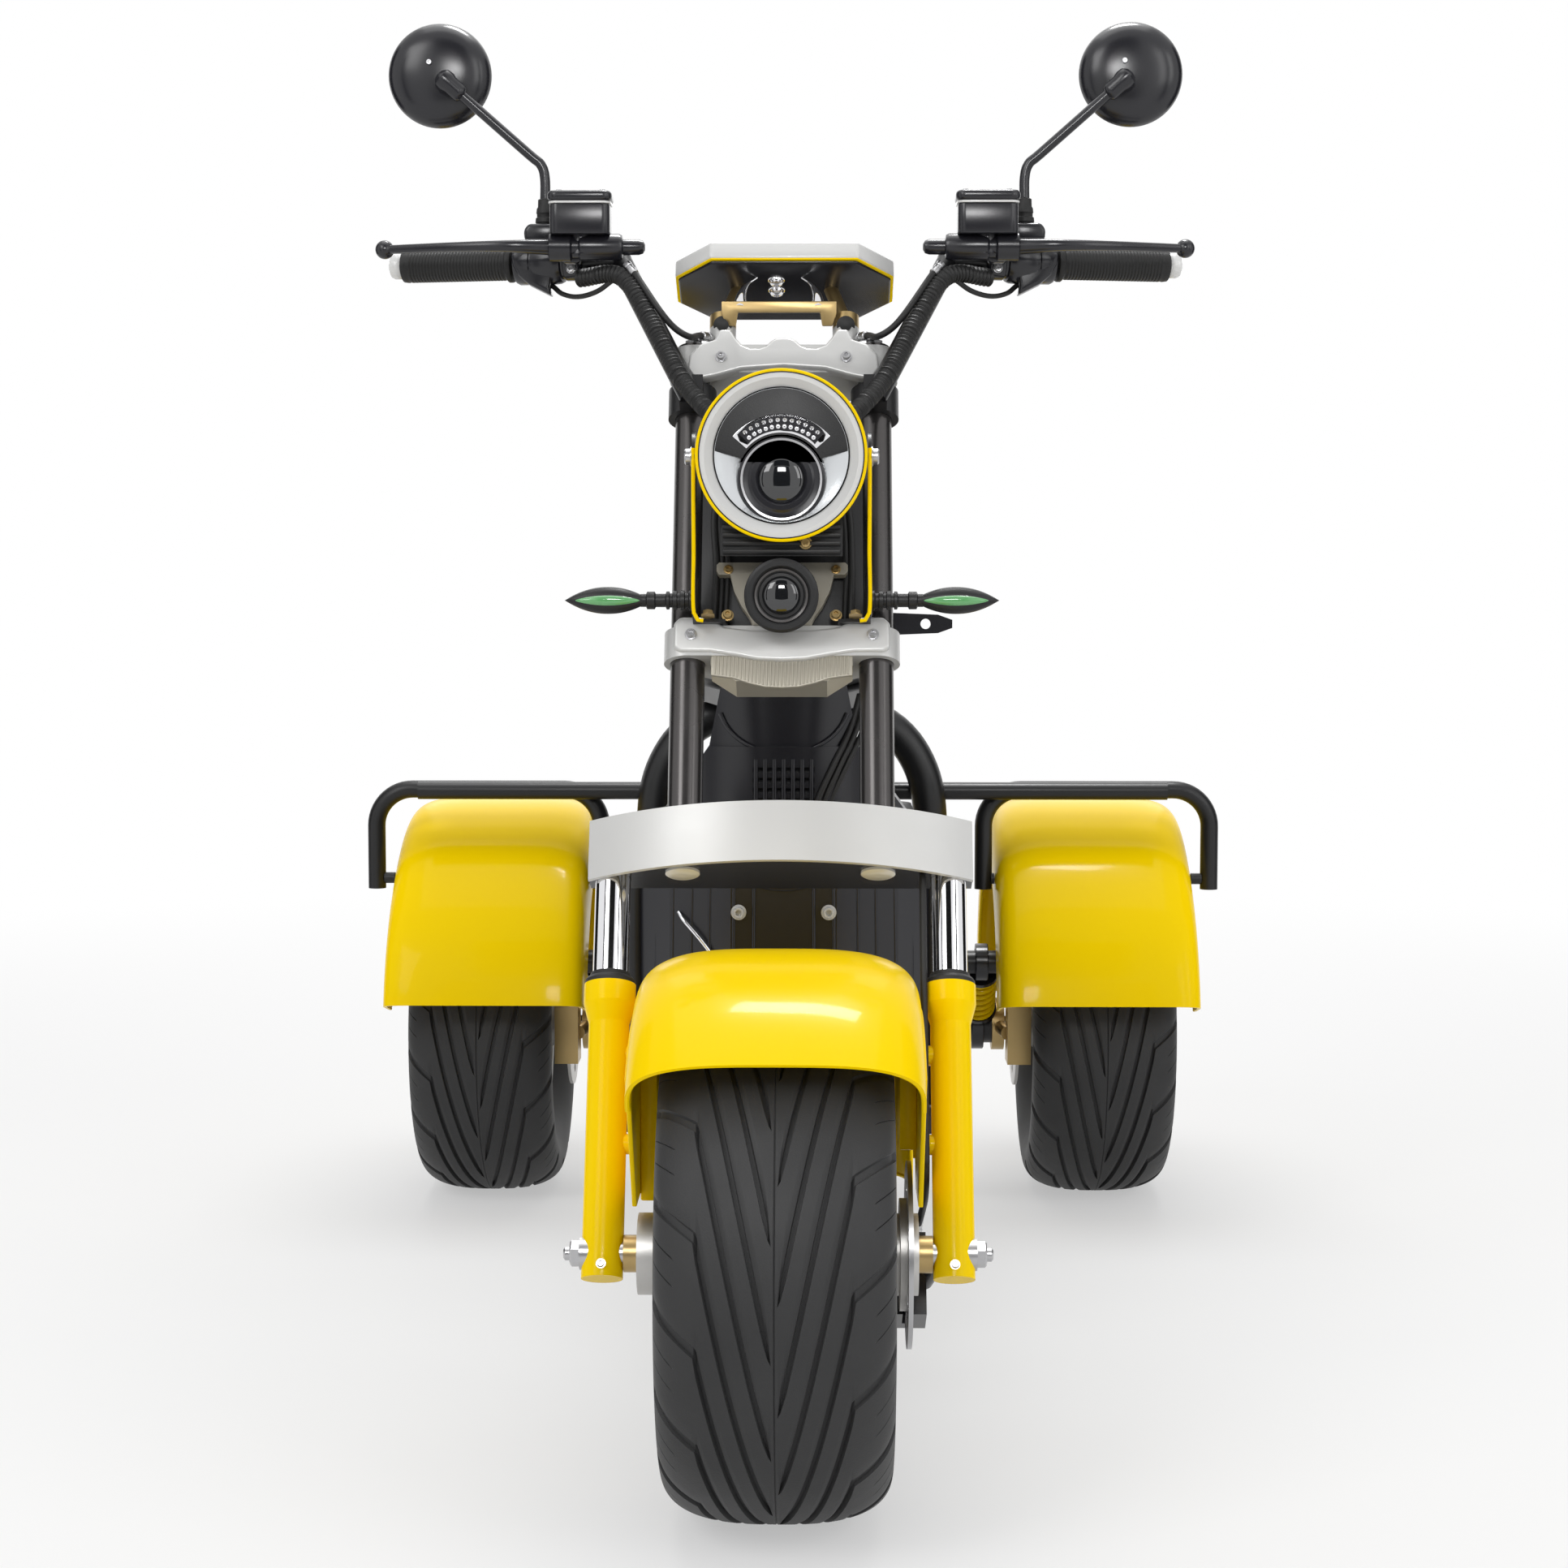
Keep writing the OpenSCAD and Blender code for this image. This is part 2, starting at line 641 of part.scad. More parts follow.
// Point of the bar between elbow and grip at a given X
function bar_at_x(x) = between(bar_elbow, grip_start, (x - bar_elbow_x) / (grip_in_x - bar_elbow_x));
module bar_straight(r) {
  rod(bar_elbow, bar_at(grip_l + bar_end_over), r);
}
module bar_run(r) {
  run([fork_at(upper_x, bar_base_q, bar_base_t - clip_h / 3), bar_elbow, bar_at(grip_l + bar_end_over)], r);
}
module handlebars() {
  color("#1a1a1b") pair() {
    bar_run(bar_r);
    on_fork(bar_base_t - clip_h / 2) difference() {
      union() {
        translate([upper_x, 0, 0]) cylinder(h = clip_h, r = clip_r);
        translate([upper_x - bar_r, bar_base_q, 0]) cube([bar_d, -bar_base_q, clip_h]);
      }
      translate([upper_x, 0, -overrun]) cylinder(h = clip_h + 2 * overrun, r = upper_r + fit);
    }
  }
}
grip_rings = 6;
grip_ring = 1.5;
grip_ring_shares = [0.15, 0.85];
module grips() {
  color("#202022") pair() difference() {
    union() {
      rod(bar_at(0), bar_at(grip_l), grip_d / 2 - grip_ring);
      for (i = [0 : grip_rings - 1])
        rod(bar_at(grip_l * (i + grip_ring_shares[0]) / grip_rings),
          bar_at(grip_l * (i + grip_ring_shares[1]) / grip_rings), grip_d / 2);
    }
    bar_straight(bar_r + fit);
  }
}
master_y = 368;
master_up = 10;
master_z = bar_z + master_up;
master_r = 13;
master_in_x = 146;
master_out_x = 226;
tank_w = 58;
tank_l = 40;
tank_h = 38;
tank_x = 196;
tank_up = 41;
tank_z = master_z + tank_up;
tank_neck_share = 0.7;
perch_arm_share = 0.8;
perch_x = 206;
perch_w = 18;
perch_r = 18;
switch_x = 240;
switch_w = 44;
switch_r = 21;
module brake_controls() {
  color("#1b1b1c") pair() difference() {
    union() {
      across(at(master_in_x, master_y, master_z)) cylinder(h = master_out_x - master_in_x, r = master_r);
      translate(at(tank_x - tank_w / 2, master_y - tank_l / 2, tank_z - tank_h / 2))
        cube([tank_w, tank_l, tank_h]);
      rod(at(tank_x, master_y, master_z), at(tank_x, master_y, tank_z), master_r * tank_neck_share);
      rod(bar_at_x(perch_x - perch_w / 2), bar_at_x(perch_x + perch_w / 2), perch_r);
      rod(at(perch_x, master_y, master_z), bar_at_x(perch_x), master_r * perch_arm_share);
      rod(bar_at_x(switch_x - switch_w / 2), bar_at_x(switch_x + switch_w / 2), switch_r);
    }
    bar_straight(bar_r + fit);
  }
}
lever_thick = 11;
lever_root_w = 20;
lever_tip_w = 11;
lever_ball_r = 10;
lever_knee_x = 268;
lever_knee_y = 356;
lever_tip_x = 400;
lever_tip_y = 396;
module brake_levers() {
  root_x = master_out_x + fit;
  ball_x = lever_tip_x - lever_ball_r;
  color("#18181a") pair() translate([0, front_y, master_z]) {
    translate([0, 0, -lever_thick / 2]) linear_extrude(lever_thick) polygon([
      [root_x, master_y - lever_root_w / 2], [lever_knee_x, lever_knee_y - lever_tip_w / 2],
      [ball_x, lever_tip_y - lever_tip_w / 2], [ball_x, lever_tip_y + lever_tip_w / 2],
      [lever_knee_x, lever_knee_y + lever_tip_w], [root_x, master_y + lever_root_w / 2]
    ]);
    translate([ball_x, lever_tip_y, 0]) sphere(r = lever_ball_r);
  }
}
mirror_x = 340;
mirror_y = 440;
mirror_z = 1297;
mirror_depth = 24;
boot_x = 235;
boot_h = 40;
stalk_r = 5;
boot_low_r = 11;
boot_top_r = 7;
// Mirror back: shares of its radius and depth
mirror_shares = [[0.95, 0], [1, 0.1], [0.96, 0.4], [0.76, 0.75], [0.4, 0.95]];
stalk_bend_z = 1204;
stalk_off = 12;
stalk_seat_share = 0.96;
module mirrors() {
  boot = bar_at_x(boot_x) + [0, 0, switch_r + fit];
  bend = [boot_x, boot[1], stalk_bend_z];
  stalk_y = mirror_y - mirror_depth * stalk_seat_share - stalk_r - joint_swell - fit;
  stalk_end = at(mirror_x - stalk_off, stalk_y, mirror_z - stalk_off);
  color("#161617") pair() {
    translate(boot) cylinder(h = boot_h, r1 = boot_low_r, r2 = boot_top_r);
    run([boot + [0, 0, boot_h / 2], bend, stalk_end], stalk_r);
    translate(stalk_end) sphere(r = stalk_r + joint_swell);
    facing(at(mirror_x, mirror_y, mirror_z)) rotate_extrude() polygon(concat(
      [[0, 0]], [for (s = mirror_shares) [s[0] * mirror_d / 2, s[1] * mirror_depth]], [[0, mirror_depth]]
    ));
  }
}
dash_y = 440;
dash_z = 1097;
dash_l = 120;
dash_thick = 18;
dash_tilt = 35;
dash_corner_share = 0.3;
module dash_solid(gap) {
  w = dash_w / 2 + gap;
  l = dash_l / 2 + gap;
  c = dash_l * dash_corner_share;
  translate(at(0, dash_y, dash_z)) rotate([-dash_tilt, 0, 0]) translate([0, 0, -dash_thick / 2 - gap])
    linear_extrude(dash_thick + 2 * gap) polygon([
      [-w + c, -l], [w - c, -l], [w, -l + c], [w, l - c], [w - c, l], [-w + c, l], [-w, l - c], [-w, -l + c]
    ]);
}
module dash() { color("#e2e1dd") dash_solid(0); }
bracket_r = 7;
bracket_lean_share = 0.7;
module dash_bracket() {
  color("#a5804a") difference() {
    pair() {
      foot_t = top_clamp_t + clamp_thick + horn_h + fit;
      on_fork(foot_t) translate([horn_x, horn_q, 0]) cylinder(h = 2 * bracket_r, r = horn_r);
      rod(fork_at(horn_x, horn_q, foot_t + bracket_r), at(horn_x * bracket_lean_share, dash_y, dash_z),
        bracket_r);
    }
    dash_solid(fit);
  }
}

// Wiring and brake hoses along the bars and the fork

loom_r = 8.5;
loom_off = 16;
loom_drop = 17;
lead_r = 2.5;
hose_r = 3.2;
// Routes on the rider's left, as places behind the front axle
loom_route = [[158, 366, 1094], [129, 337, 1052], [100, 301, 997], [76, 270, 966], [58, 248, 949]];
lead_route = [[226, 414, 1089], [222, 411, 1083], [208, 402, 1078], [194, 391, 1078], [180, 381, 1082]];
hose_route = [[152, 368, 1106], [141, 356, 1092], [118, 338, 1058], [104, 338, 1042], [90, 341, 1034],
  [82, 364, 1037], [72, 382, 1037]];
// Front brake hose as places across, behind and up the fork
front_hose_route = [[127.5, -14, 339], [127.5, -14, 110], [127.5, -10, 74], [127.5, 20, 56], [126, 60, 50],
  [123, 82, 42], [122, 84, 35]];
module wiring_looms() {
  perch_face = bar_at_x(perch_x - perch_w / 2) - bar_way * 2 * fit;
  aside = [bar_way[1], -bar_way[0], 0] * loom_off - [0, 0, loom_drop];
  color("#131314") pair() {
    run(concat([perch_face + aside], [for (p = loom_route) at(p[0], p[1], p[2])]), loom_r);
    run([for (p = lead_route) at(p[0], p[1], p[2])], lead_r);
  }
}
module brake_hoses() {
  color("#131314") {
    pair() run([for (p = hose_route) at(p[0], p[1], p[2])], hose_r);
    run([for (p = front_hose_route) fork_at(p[0], p[1], p[2])], hose_r);
  }
}

// Frame and body

head_r = 29;
bearing_gap = 2;
head_t0 = low_clamp_t + clamp_thick + bearing_gap;
head_t1 = top_clamp_t - bearing_gap;
backbone_r = 25;
backbone_t = 690;
neck_y = 452;
neck_z = 560;
rail_x = 105;
rail_z = 240;
rail_r = 18;
outrigger_ahead = 100;
outrigger_y = wheelbase - outrigger_ahead;
outrigger_z = 312;
outrigger_x = 268;
outrigger_r = 15;
pivot_ahead = 340;
pivot_y = wheelbase - pivot_ahead;
pivot_z = 196;
pivot_x = 168;
pivot_r = 14;
module backbone(r) {
  run([fork_at(0, steer_offset + head_r / 2, backbone_t), at(0, neck_y, neck_z), at(0, neck_y, rail_z)], r);
}
module main_frame() {
  color("#1c1c1e") difference() {
    union() {
      on_fork(head_t0) translate([0, steer_offset, 0]) cylinder(h = head_t1 - head_t0, r = head_r);
      backbone(backbone_r);
      run([at(-rail_x, outrigger_y, rail_z), at(-rail_x, neck_y, rail_z), at(rail_x, neck_y, rail_z),
        at(rail_x, outrigger_y, rail_z)], rail_r);
      pair() {
        rod(at(rail_x, outrigger_y, rail_z - rail_r), at(rail_x, outrigger_y, outrigger_z), rail_r);
        rod(at(rail_x, pivot_y, rail_z), at(rail_x, pivot_y, pivot_z - pivot_r), rail_r);
      }
      across(at(-outrigger_x, outrigger_y, outrigger_z)) cylinder(h = 2 * outrigger_x, r = outrigger_r);
      across(at(-pivot_x, pivot_y, pivot_z)) cylinder(h = 2 * pivot_x, r = pivot_r);
    }
    on_fork(head_t0 - overrun) translate([0, steer_offset, 0])
      cylinder(h = head_t1 - head_t0 + 2 * overrun, r = stem_r + pin_gap);
  }
}
deck_z = rail_z + rail_r + fit;
deck_thick = 18;
deck_y0 = 356;
deck_y1 = 690;
deck_ribs = 9;
deck_rib_h = 4;
deck_rib_gap_share = 0.25;
deck_rib_y0 = 490;
deck_corner = 28;
deck_top = deck_z + deck_thick;
module floor_deck() {
  rib_pitch = (deck_y1 - deck_rib_y0) / deck_ribs;
  color("#232325") difference() {
    union() {
      translate(at(0, (deck_y0 + deck_y1) / 2, deck_z)) linear_extrude(deck_thick)
        round_rect(deck_w, deck_y1 - deck_y0, deck_corner);
      for (i = [0 : deck_ribs - 1])
        translate(at(-deck_w / 2 + deck_corner, deck_rib_y0 + rib_pitch * (i + deck_rib_gap_share),
          deck_top - overrun)) cube([deck_w - 2 * deck_corner, rib_pitch / 2, deck_rib_h + overrun]);
    }
    backbone(backbone_r + fit);
  }
}
shield_front_y = 352;
shield_back_y = 418;
shield_top_z = 528;
shield_flat_share = 0.36;
shield_edge_share = 0.78;
// Steps of the shield's bent sides: shares of its depth
shield_step_shares = [0.2, 0.7];
module leg_shield() {
  w = shield_w / 2;
  depth = shield_back_y - shield_front_y;
  step = shield_step_shares * depth;
  color("#121314") translate(at(0, shield_front_y, deck_top + fit)) linear_extrude(shield_top_z - deck_top)
    polygon([
      [-w * shield_flat_share, 0], [w * shield_flat_share, 0], [w * shield_edge_share, step[0]],
      [w, step[1]], [w, depth], [-w, depth], [-w, step[1]], [-w * shield_edge_share, step[0]]
    ]);
}
fairing_front_y = 346;
fairing_back_y = 470;
fairing_top_z = 716;
fairing_top_w = 116;
fairing_mid_w = 146;
fairing_low_w = 290;
fairing_crease_z = 640;
fairing_step = 4;
fairing_foot_h = 10;
fairing_arc_r = 172;
vent_w = 60;
vent_h = 5;
vent_count = 4;
vent_z = 585;
module fairing_outline(z0, z1) {
  base_z = shield_top_z + 2 * fit;
  intersection() {
    polygon([
      [-fairing_top_w / 2, fairing_top_z], [fairing_top_w / 2, fairing_top_z],
      [fairing_mid_w / 2, fairing_crease_z], [fairing_low_w / 2, base_z + fairing_foot_h],
      [fairing_low_w / 2, base_z], [-fairing_low_w / 2, base_z], [-fairing_low_w / 2, base_z + fairing_foot_h],
      [-fairing_mid_w / 2, fairing_crease_z]
    ]);
    translate([-fairing_low_w, z0]) square([2 * fairing_low_w, z1 - z0]);
  }
}
module fairing_body(z0, z1, arc_r) {
  intersection() {
    translate(at(0, fairing_back_y, 0)) rotate([90, 0, 0])
      linear_extrude(fairing_back_y - fairing_front_y + fairing_step) fairing_outline(z0, z1);
    translate(at(0, fairing_front_y + fairing_arc_r, 0)) cylinder(h = fairing_top_z, r = arc_r, $fn = 96);
  }
}
module front_fairing() {
  color("#141516") difference() {
    union() {
      fairing_body(fairing_crease_z, fairing_top_z, fairing_arc_r - fairing_step);
      fairing_body(shield_top_z, fairing_crease_z, fairing_arc_r);
    }
    backbone(backbone_r + fit);
    for (i = [0 : vent_count - 1])
      translate(at(-vent_w / 2, fairing_front_y - overrun, vent_z + i * vent_h * 2))
        cube([vent_w, fairing_step * 2 + overrun, vent_h]);
  }
}
box_y0 = 700;
box_ahead = 240;
box_y1 = wheelbase - box_ahead;
box_z0 = deck_z;
box_corner = 34;
lid_h = 14;
panel_share = 0.72;
panel_depth = 4;
box_top = box_z0 + box_h;
module battery_box() {
  color("#1b1b1d") difference() {
    union() {
      translate(at(0, (box_y0 + box_y1) / 2, box_z0)) linear_extrude(box_h - lid_h - panel_depth)
        round_rect(box_w, box_y1 - box_y0, box_corner);
      translate(at(0, (box_y0 + box_y1) / 2, box_top - lid_h)) linear_extrude(lid_h)
        round_rect(box_w, box_y1 - box_y0, box_corner);
      translate(at(0, (box_y0 + box_y1) / 2, box_z0)) linear_extrude(box_h - lid_h + overrun)
        round_rect(box_w - 2 * panel_depth, box_y1 - box_y0 - 2 * panel_depth, box_corner - panel_depth);
    }
    pair() translate(at(box_w / 2 - panel_depth, (box_y0 + box_y1) / 2, box_z0 + (box_h - lid_h) / 2))
      rotate([90, 0, 90]) linear_extrude(panel_depth + overrun)
        round_rect((box_y1 - box_y0) * panel_share, (box_h - lid_h) * panel_share, box_corner / 2);
  }
}
rail_ahead = 150;
rail_y = wheelbase - rail_ahead;
rail_outer_x = rail_span / 2;
rail_inner_x = 240;
rail_end_z = 412;
rail_bend = 46;
rail_tube_r = rail_tube_d / 2;
rail_bore_r = 8.5;
rail_bore_l = 40;
cross_x = 467;
tab_z = 425;
tab_r = 7;
hoop_r = 21;
hoop_y = rail_y - 1.5 * rail_tube_d - 2 * fit - hoop_r - joint_swell;
hoop_foot_x = 172;
hoop_shoulder_z = 530;
hoop_bend_x = 140;
hoop_bend_z = 606;
hoop_top_x = 92;
hoop_top_z = 636;
hoop_foot_y = outrigger_y;
module hoop_run(r) {
  run([at(-hoop_foot_x, hoop_foot_y, outrigger_z), at(-hoop_foot_x, hoop_y, hoop_shoulder_z),
    at(-hoop_bend_x, hoop_y, hoop_bend_z), at(-hoop_top_x, hoop_y, hoop_top_z),
    at(hoop_top_x, hoop_y, hoop_top_z), at(hoop_bend_x, hoop_y, hoop_bend_z),
    at(hoop_foot_x, hoop_y, hoop_shoulder_z), at(hoop_foot_x, hoop_foot_y, outrigger_z)], r);
}
module rear_hoop() {
  color("#19191b") difference() {
    hoop_run(hoop_r);
    across(at(-outrigger_x, outrigger_y, outrigger_z)) cylinder(h = 2 * outrigger_x, r = outrigger_r + fit);
    translate(at(-outrigger_x, outrigger_y - 2 * hoop_r, outrigger_z - 2 * hoop_r))
      cube([2 * outrigger_x, 4 * hoop_r, 2 * hoop_r]);
  }
}
seat_y0 = 690;
pan_thick = 18;
pan_z = hoop_top_z + hoop_r + fit;
pan_margin = 6;
post_w = 92;
post_l = 90;
post_y = 780;
seat_nose_share = 0.56;
seat_hip_share = 0.55;
seat_corner_share = 0.4;
// Seat's top line from its back to its nose: shares of its length and thickness
seat_top_shares = [[1, 0.9], [0.92, 1.25], [0.72, 1.15], [0.56, 0.7], [0.3, 0.7], [0.06, 1], [0, 0.7]];
seat_peak_share = 1.6;
module seat_plan(inset) {
  w = seat_w / 2 - inset;
  nose = w * seat_nose_share;
  hip_y = seat_l * seat_hip_share;
  corner = w * seat_corner_share;
  polygon([
    [-nose + corner, inset], [nose - corner, inset], [nose, inset + corner], [w, hip_y],
    [w, seat_l - inset - corner], [w - corner, seat_l - inset], [-w + corner, seat_l - inset],
    [-w, seat_l - inset - corner], [-w, hip_y], [-nose, inset + corner]
  ]);
}
module seat_base() {
  color("#1a1a1b") {
    translate(at(0, seat_y0, pan_z)) linear_extrude(pan_thick) seat_plan(pan_margin);
    translate(at(-post_w / 2, post_y - post_l / 2, box_top + fit)) cube([post_w, post_l, pan_z - box_top]);
  }
}
module seat() {
  seat_z = pan_z + pan_thick + fit;
  color("#19191a") intersection() {
    translate(at(0, seat_y0, seat_z)) linear_extrude(seat_thick * seat_peak_share) seat_plan(0);
    translate([0, front_y + seat_y0, seat_z]) side_slab(-seat_w / 2, seat_w / 2) polygon(concat(
      [[0, 0], [seat_l, 0]], [for (p = seat_top_shares) [p[0] * seat_l, p[1] * seat_thick]]
    ));
  }
}
tail_w = 130;
tail_l = 26;
tail_h = 40;
module tail_lamp() {
  tail_y = seat_y0 + seat_l - pan_margin + fit + tail_l / 2;
  color("#8f1518") translate(at(0, tail_y, pan_z + pan_thick - tail_h))
    linear_extrude(tail_h) round_rect(tail_w, tail_l, tail_l / 3);
}
park_root_share = 0.25;
park_thick = 10;
park_l = 150;
park_tip_l = 14;
park_root_h = 30;
park_tip_h = 18;
park_nose_h = 8;
park_hole_x = 138;
park_hole_r = 5;
module parking_lever() {
  foot = fork_at(0, steer_offset + head_r / 2, backbone_t);
  neck = at(0, neck_y, neck_z);
  color("#161617") difference() {
    translate(between(foot, neck, park_root_share) + [0, park_thick / 2, 0]) rotate([90, 0, 0])
      linear_extrude(park_thick) difference() {
        polygon([
          [0, -park_root_h / 2], [park_l, -park_tip_h / 2], [park_l + park_tip_l, -park_nose_h / 2],
          [park_l + park_tip_l, park_nose_h / 2], [park_l, park_tip_h / 2], [0, park_root_h / 2]
        ]);
        translate([park_hole_x, 0]) circle(r = park_hole_r);
      }
    rod(foot, neck, backbone_r + fit);
  }
}

// Rear axle, suspension, fenders and rails

shaft_over = 20;
shaft_end_x = wheel_x + rear_hub_out + shaft_over;
axle_end_x = 276;
axle_tube_r = axle_tube_d / 2;
hub_nut_r = 15;
hub_nut_w = 12;
module rear_axle() {
  color("#1b1b1d") {
    across(at(-axle_end_x, wheelbase, rear_r)) cylinder(h = 2 * axle_end_x, r = axle_tube_r);
    across(at(-shaft_end_x, wheelbase, rear_r)) cylinder(h = 2 * shaft_end_x, r = axle_r);
    pair() across(at(wheel_x + rear_hub_out + pin_gap, wheelbase, rear_r))
      cylinder(h = hub_nut_w, r = hub_nut_r, $fn = 6);
  }
}
motor_r = 92;
motor_w = 150;
motor_x = -20;
diff_r = 70;
diff_w = 110;
motor_back = 40;
module drive_motor() {
  color("#6f7276") difference() {
    union() {
      across(at(motor_x - motor_w / 2, wheelbase + motor_back, rear_r)) cylinder(h = motor_w, r = motor_r);
      across(at(motor_x + motor_w / 2 - overrun, wheelbase, rear_r))
        cylinder(h = diff_w - motor_w / 2, r = diff_r);
    }
    across(at(-axle_end_x, wheelbase, rear_r)) cylinder(h = 2 * axle_end_x, r = axle_tube_r + fit);
  }
}
arm_x = 146;
arm_w = 28;
arm_r = 15;
arm_eye_r = 24;
arm_clamp_r = 36;
module swing_arms() {
  color("#1d1d1f") pair() difference() {
    union() {
      rod(at(arm_x, pivot_y, pivot_z), at(arm_x, wheelbase, rear_r), arm_r - fit);
      across(at(arm_x - arm_w / 2, pivot_y, pivot_z)) cylinder(h = arm_w, r = arm_eye_r);
      across(at(arm_x - arm_w / 2, wheelbase, rear_r)) cylinder(h = arm_w, r = arm_clamp_r);
    }
    across(at(0, pivot_y, pivot_z)) cylinder(h = 2 * pivot_x, r = pivot_r + fit);
    across(at(0, wheelbase, rear_r)) cylinder(h = axle_end_x, r = axle_tube_r + fit);
  }
}
shock_x = 241;
shock_r = 17;
shock_eye_r = 24;
shock_eye_w = 16;
module rear_shocks() {
  lower = at(shock_x, wheelbase, rear_r);
  upper = at(shock_x, outrigger_y, outrigger_z);
  color("#b88a2c") pair() difference() {
    union() {
      rod(lower, upper, shock_r - fit);
      across(upper - [shock_eye_w / 2, 0, 0]) cylinder(h = shock_eye_w, r = shock_eye_r);
      across(lower - [shock_eye_w / 2, 0, 0]) cylinder(h = shock_eye_w, r = axle_tube_r + rim_flange);
    }
    across(at(0, outrigger_y, outrigger_z)) cylinder(h = outrigger_x + overrun, r = outrigger_r + fit);
    across(at(0, wheelbase, rear_r)) cylinder(h = axle_end_x + overrun, r = axle_tube_r + fit);
  }
}
fender_x = 377;
fender_front_deg = 13;
fender_drop = 74;
fender_bow_share = 0.42;
module rear_fender(side) {
  color("#f2c500") mirror([side < 0 ? 1 : 0, 0, 0])
    fender_arc(at(fender_x, wheelbase, rear_r), fender_front_deg, 180)
      fender_section(fender_w / 2, fender_r, fender_wall, fender_drop, fender_bow_share);
}
module rear_fender_left() { rear_fender(1); }
module rear_fender_right() { rear_fender(-1); }
// Quarter bend in a plane across the trike, starting at a_deg
module rail_corner(x, a_deg) {
  translate(at(x, rail_y, rail_top_z - rail_bend)) rotate([90, 0, 0]) rotate(a_deg)
    rotate_extrude(angle = 90) translate([rail_bend, 0]) circle(r = rail_tube_r);
}
module rail_leg(x) {
  difference() {
    translate(at(x, rail_y, rail_end_z)) cylinder(h = rail_top_z - rail_bend - rail_end_z, r = rail_tube_r);
    translate(at(x, rail_y, rail_end_z - overrun)) cylinder(h = rail_bore_l + overrun, r = rail_bore_r);
  }
}
module rail_loop() {
  skirt_in = fender_x - fender_w / 2 - fit;
  skirt_out = fender_x + fender_w / 2 + fit;
  wall_mid = (rail_bore_r + rail_tube_r) / 2;
  rail_leg(rail_inner_x);
  rail_leg(rail_outer_x);
  rail_corner(rail_inner_x + rail_bend, 90);
  rail_corner(rail_outer_x - rail_bend, 0);
  across(at(rail_inner_x + rail_bend, rail_y, rail_top_z))
    cylinder(h = rail_outer_x - rail_inner_x - 2 * rail_bend, r = rail_tube_r);
  across(at(rail_inner_x + wall_mid, rail_y, tab_z))
    cylinder(h = skirt_in - rail_inner_x - wall_mid, r = tab_r);
  across(at(skirt_out, rail_y, tab_z)) cylinder(h = rail_outer_x - wall_mid - skirt_out, r = tab_r);
}
module guard_rails() {
  cross_y = rail_y - rail_tube_d - fit;
  color("#17171a") {
    pair() rail_loop();
    across(at(-cross_x, cross_y, rail_top_z)) cylinder(h = 2 * cross_x, r = rail_tube_r);
  }
}
rear_caliper_w = 30;
carrier_w = 16;
carrier_r = 34;
carrier_arm_r = 9;
module rear_calipers() {
  carrier_x = axle_end_x - carrier_w - fit;
  block_x = rear_disc_x + disc_thick / 2 - rear_caliper_w / 2;
  color("#a8852f") pair() difference() {
    union() {
      translate(at(rear_disc_x + disc_thick / 2, wheelbase, rear_r)) rotate([90, 0, 0])
        translate([0, 0, disc_r]) caliper(rear_caliper_w, caliper_h * caliper_slot_share);
      across(at(carrier_x, wheelbase, rear_r)) cylinder(h = carrier_w, r = carrier_r);
      rod(at(carrier_x + carrier_w / 2, wheelbase, rear_r),
        at(block_x + overrun, wheelbase - disc_r, rear_r), carrier_arm_r);
    }
    across(at(0, wheelbase, rear_r)) cylinder(h = axle_end_x + overrun, r = axle_tube_r + fit);
  }
}

main_frame();
rear_hoop();
front_fairing();
leg_shield();
floor_deck();
battery_box();
seat_base();
seat();
tail_lamp();
parking_lever();
rear_axle();
drive_motor();
swing_arms();
rear_shocks();
rear_fender_left();
rear_fender_right();
guard_rails();
rear_calipers();
lower_clamp();
top_clamp();
upper_tubes();
fork_crown();
crown_cover();
stanchions();
fork_lowers();
front_axle();
front_fender();
front_caliper();
lamp_bracket();
lamp_plates();
headlamp_bucket();
headlamp_rim();
headlamp_insert();
lower_lamp();
front_indicators();
handlebars();
grips();
brake_controls();
brake_levers();
mirrors();
dash();
dash_bracket();
wiring_looms();
brake_hoses();
front_tyre();
front_rim();
front_disc();
rear_tyre_left();
rear_tyre_right();
rear_rim_left();
rear_rim_right();
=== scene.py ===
"""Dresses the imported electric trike: finishes, tread, lamps, looms and trim around the CAD frame."""

import logging
import math
from collections.abc import Callable, Sequence
from dataclasses import dataclass
from enum import Enum

import bpy
import numpy as np
from mathutils import Matrix, Vector


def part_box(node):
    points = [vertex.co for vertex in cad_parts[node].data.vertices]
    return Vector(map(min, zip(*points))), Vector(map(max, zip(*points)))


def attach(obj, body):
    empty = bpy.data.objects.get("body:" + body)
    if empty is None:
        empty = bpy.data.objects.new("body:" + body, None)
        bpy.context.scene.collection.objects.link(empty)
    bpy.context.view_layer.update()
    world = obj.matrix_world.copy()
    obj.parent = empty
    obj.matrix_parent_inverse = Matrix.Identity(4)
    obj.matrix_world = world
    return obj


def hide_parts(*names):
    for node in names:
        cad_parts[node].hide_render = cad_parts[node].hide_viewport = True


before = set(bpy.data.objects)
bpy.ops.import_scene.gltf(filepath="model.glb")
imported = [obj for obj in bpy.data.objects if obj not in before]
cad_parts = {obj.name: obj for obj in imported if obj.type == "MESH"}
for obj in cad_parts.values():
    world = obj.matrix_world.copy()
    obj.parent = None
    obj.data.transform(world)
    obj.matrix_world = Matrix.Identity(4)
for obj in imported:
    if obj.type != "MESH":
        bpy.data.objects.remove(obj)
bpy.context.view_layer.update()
LOG = logging.getLogger("trike")
MM = 0.001
MERGE_REACH = 0.00001
RAKE = math.radians(25)
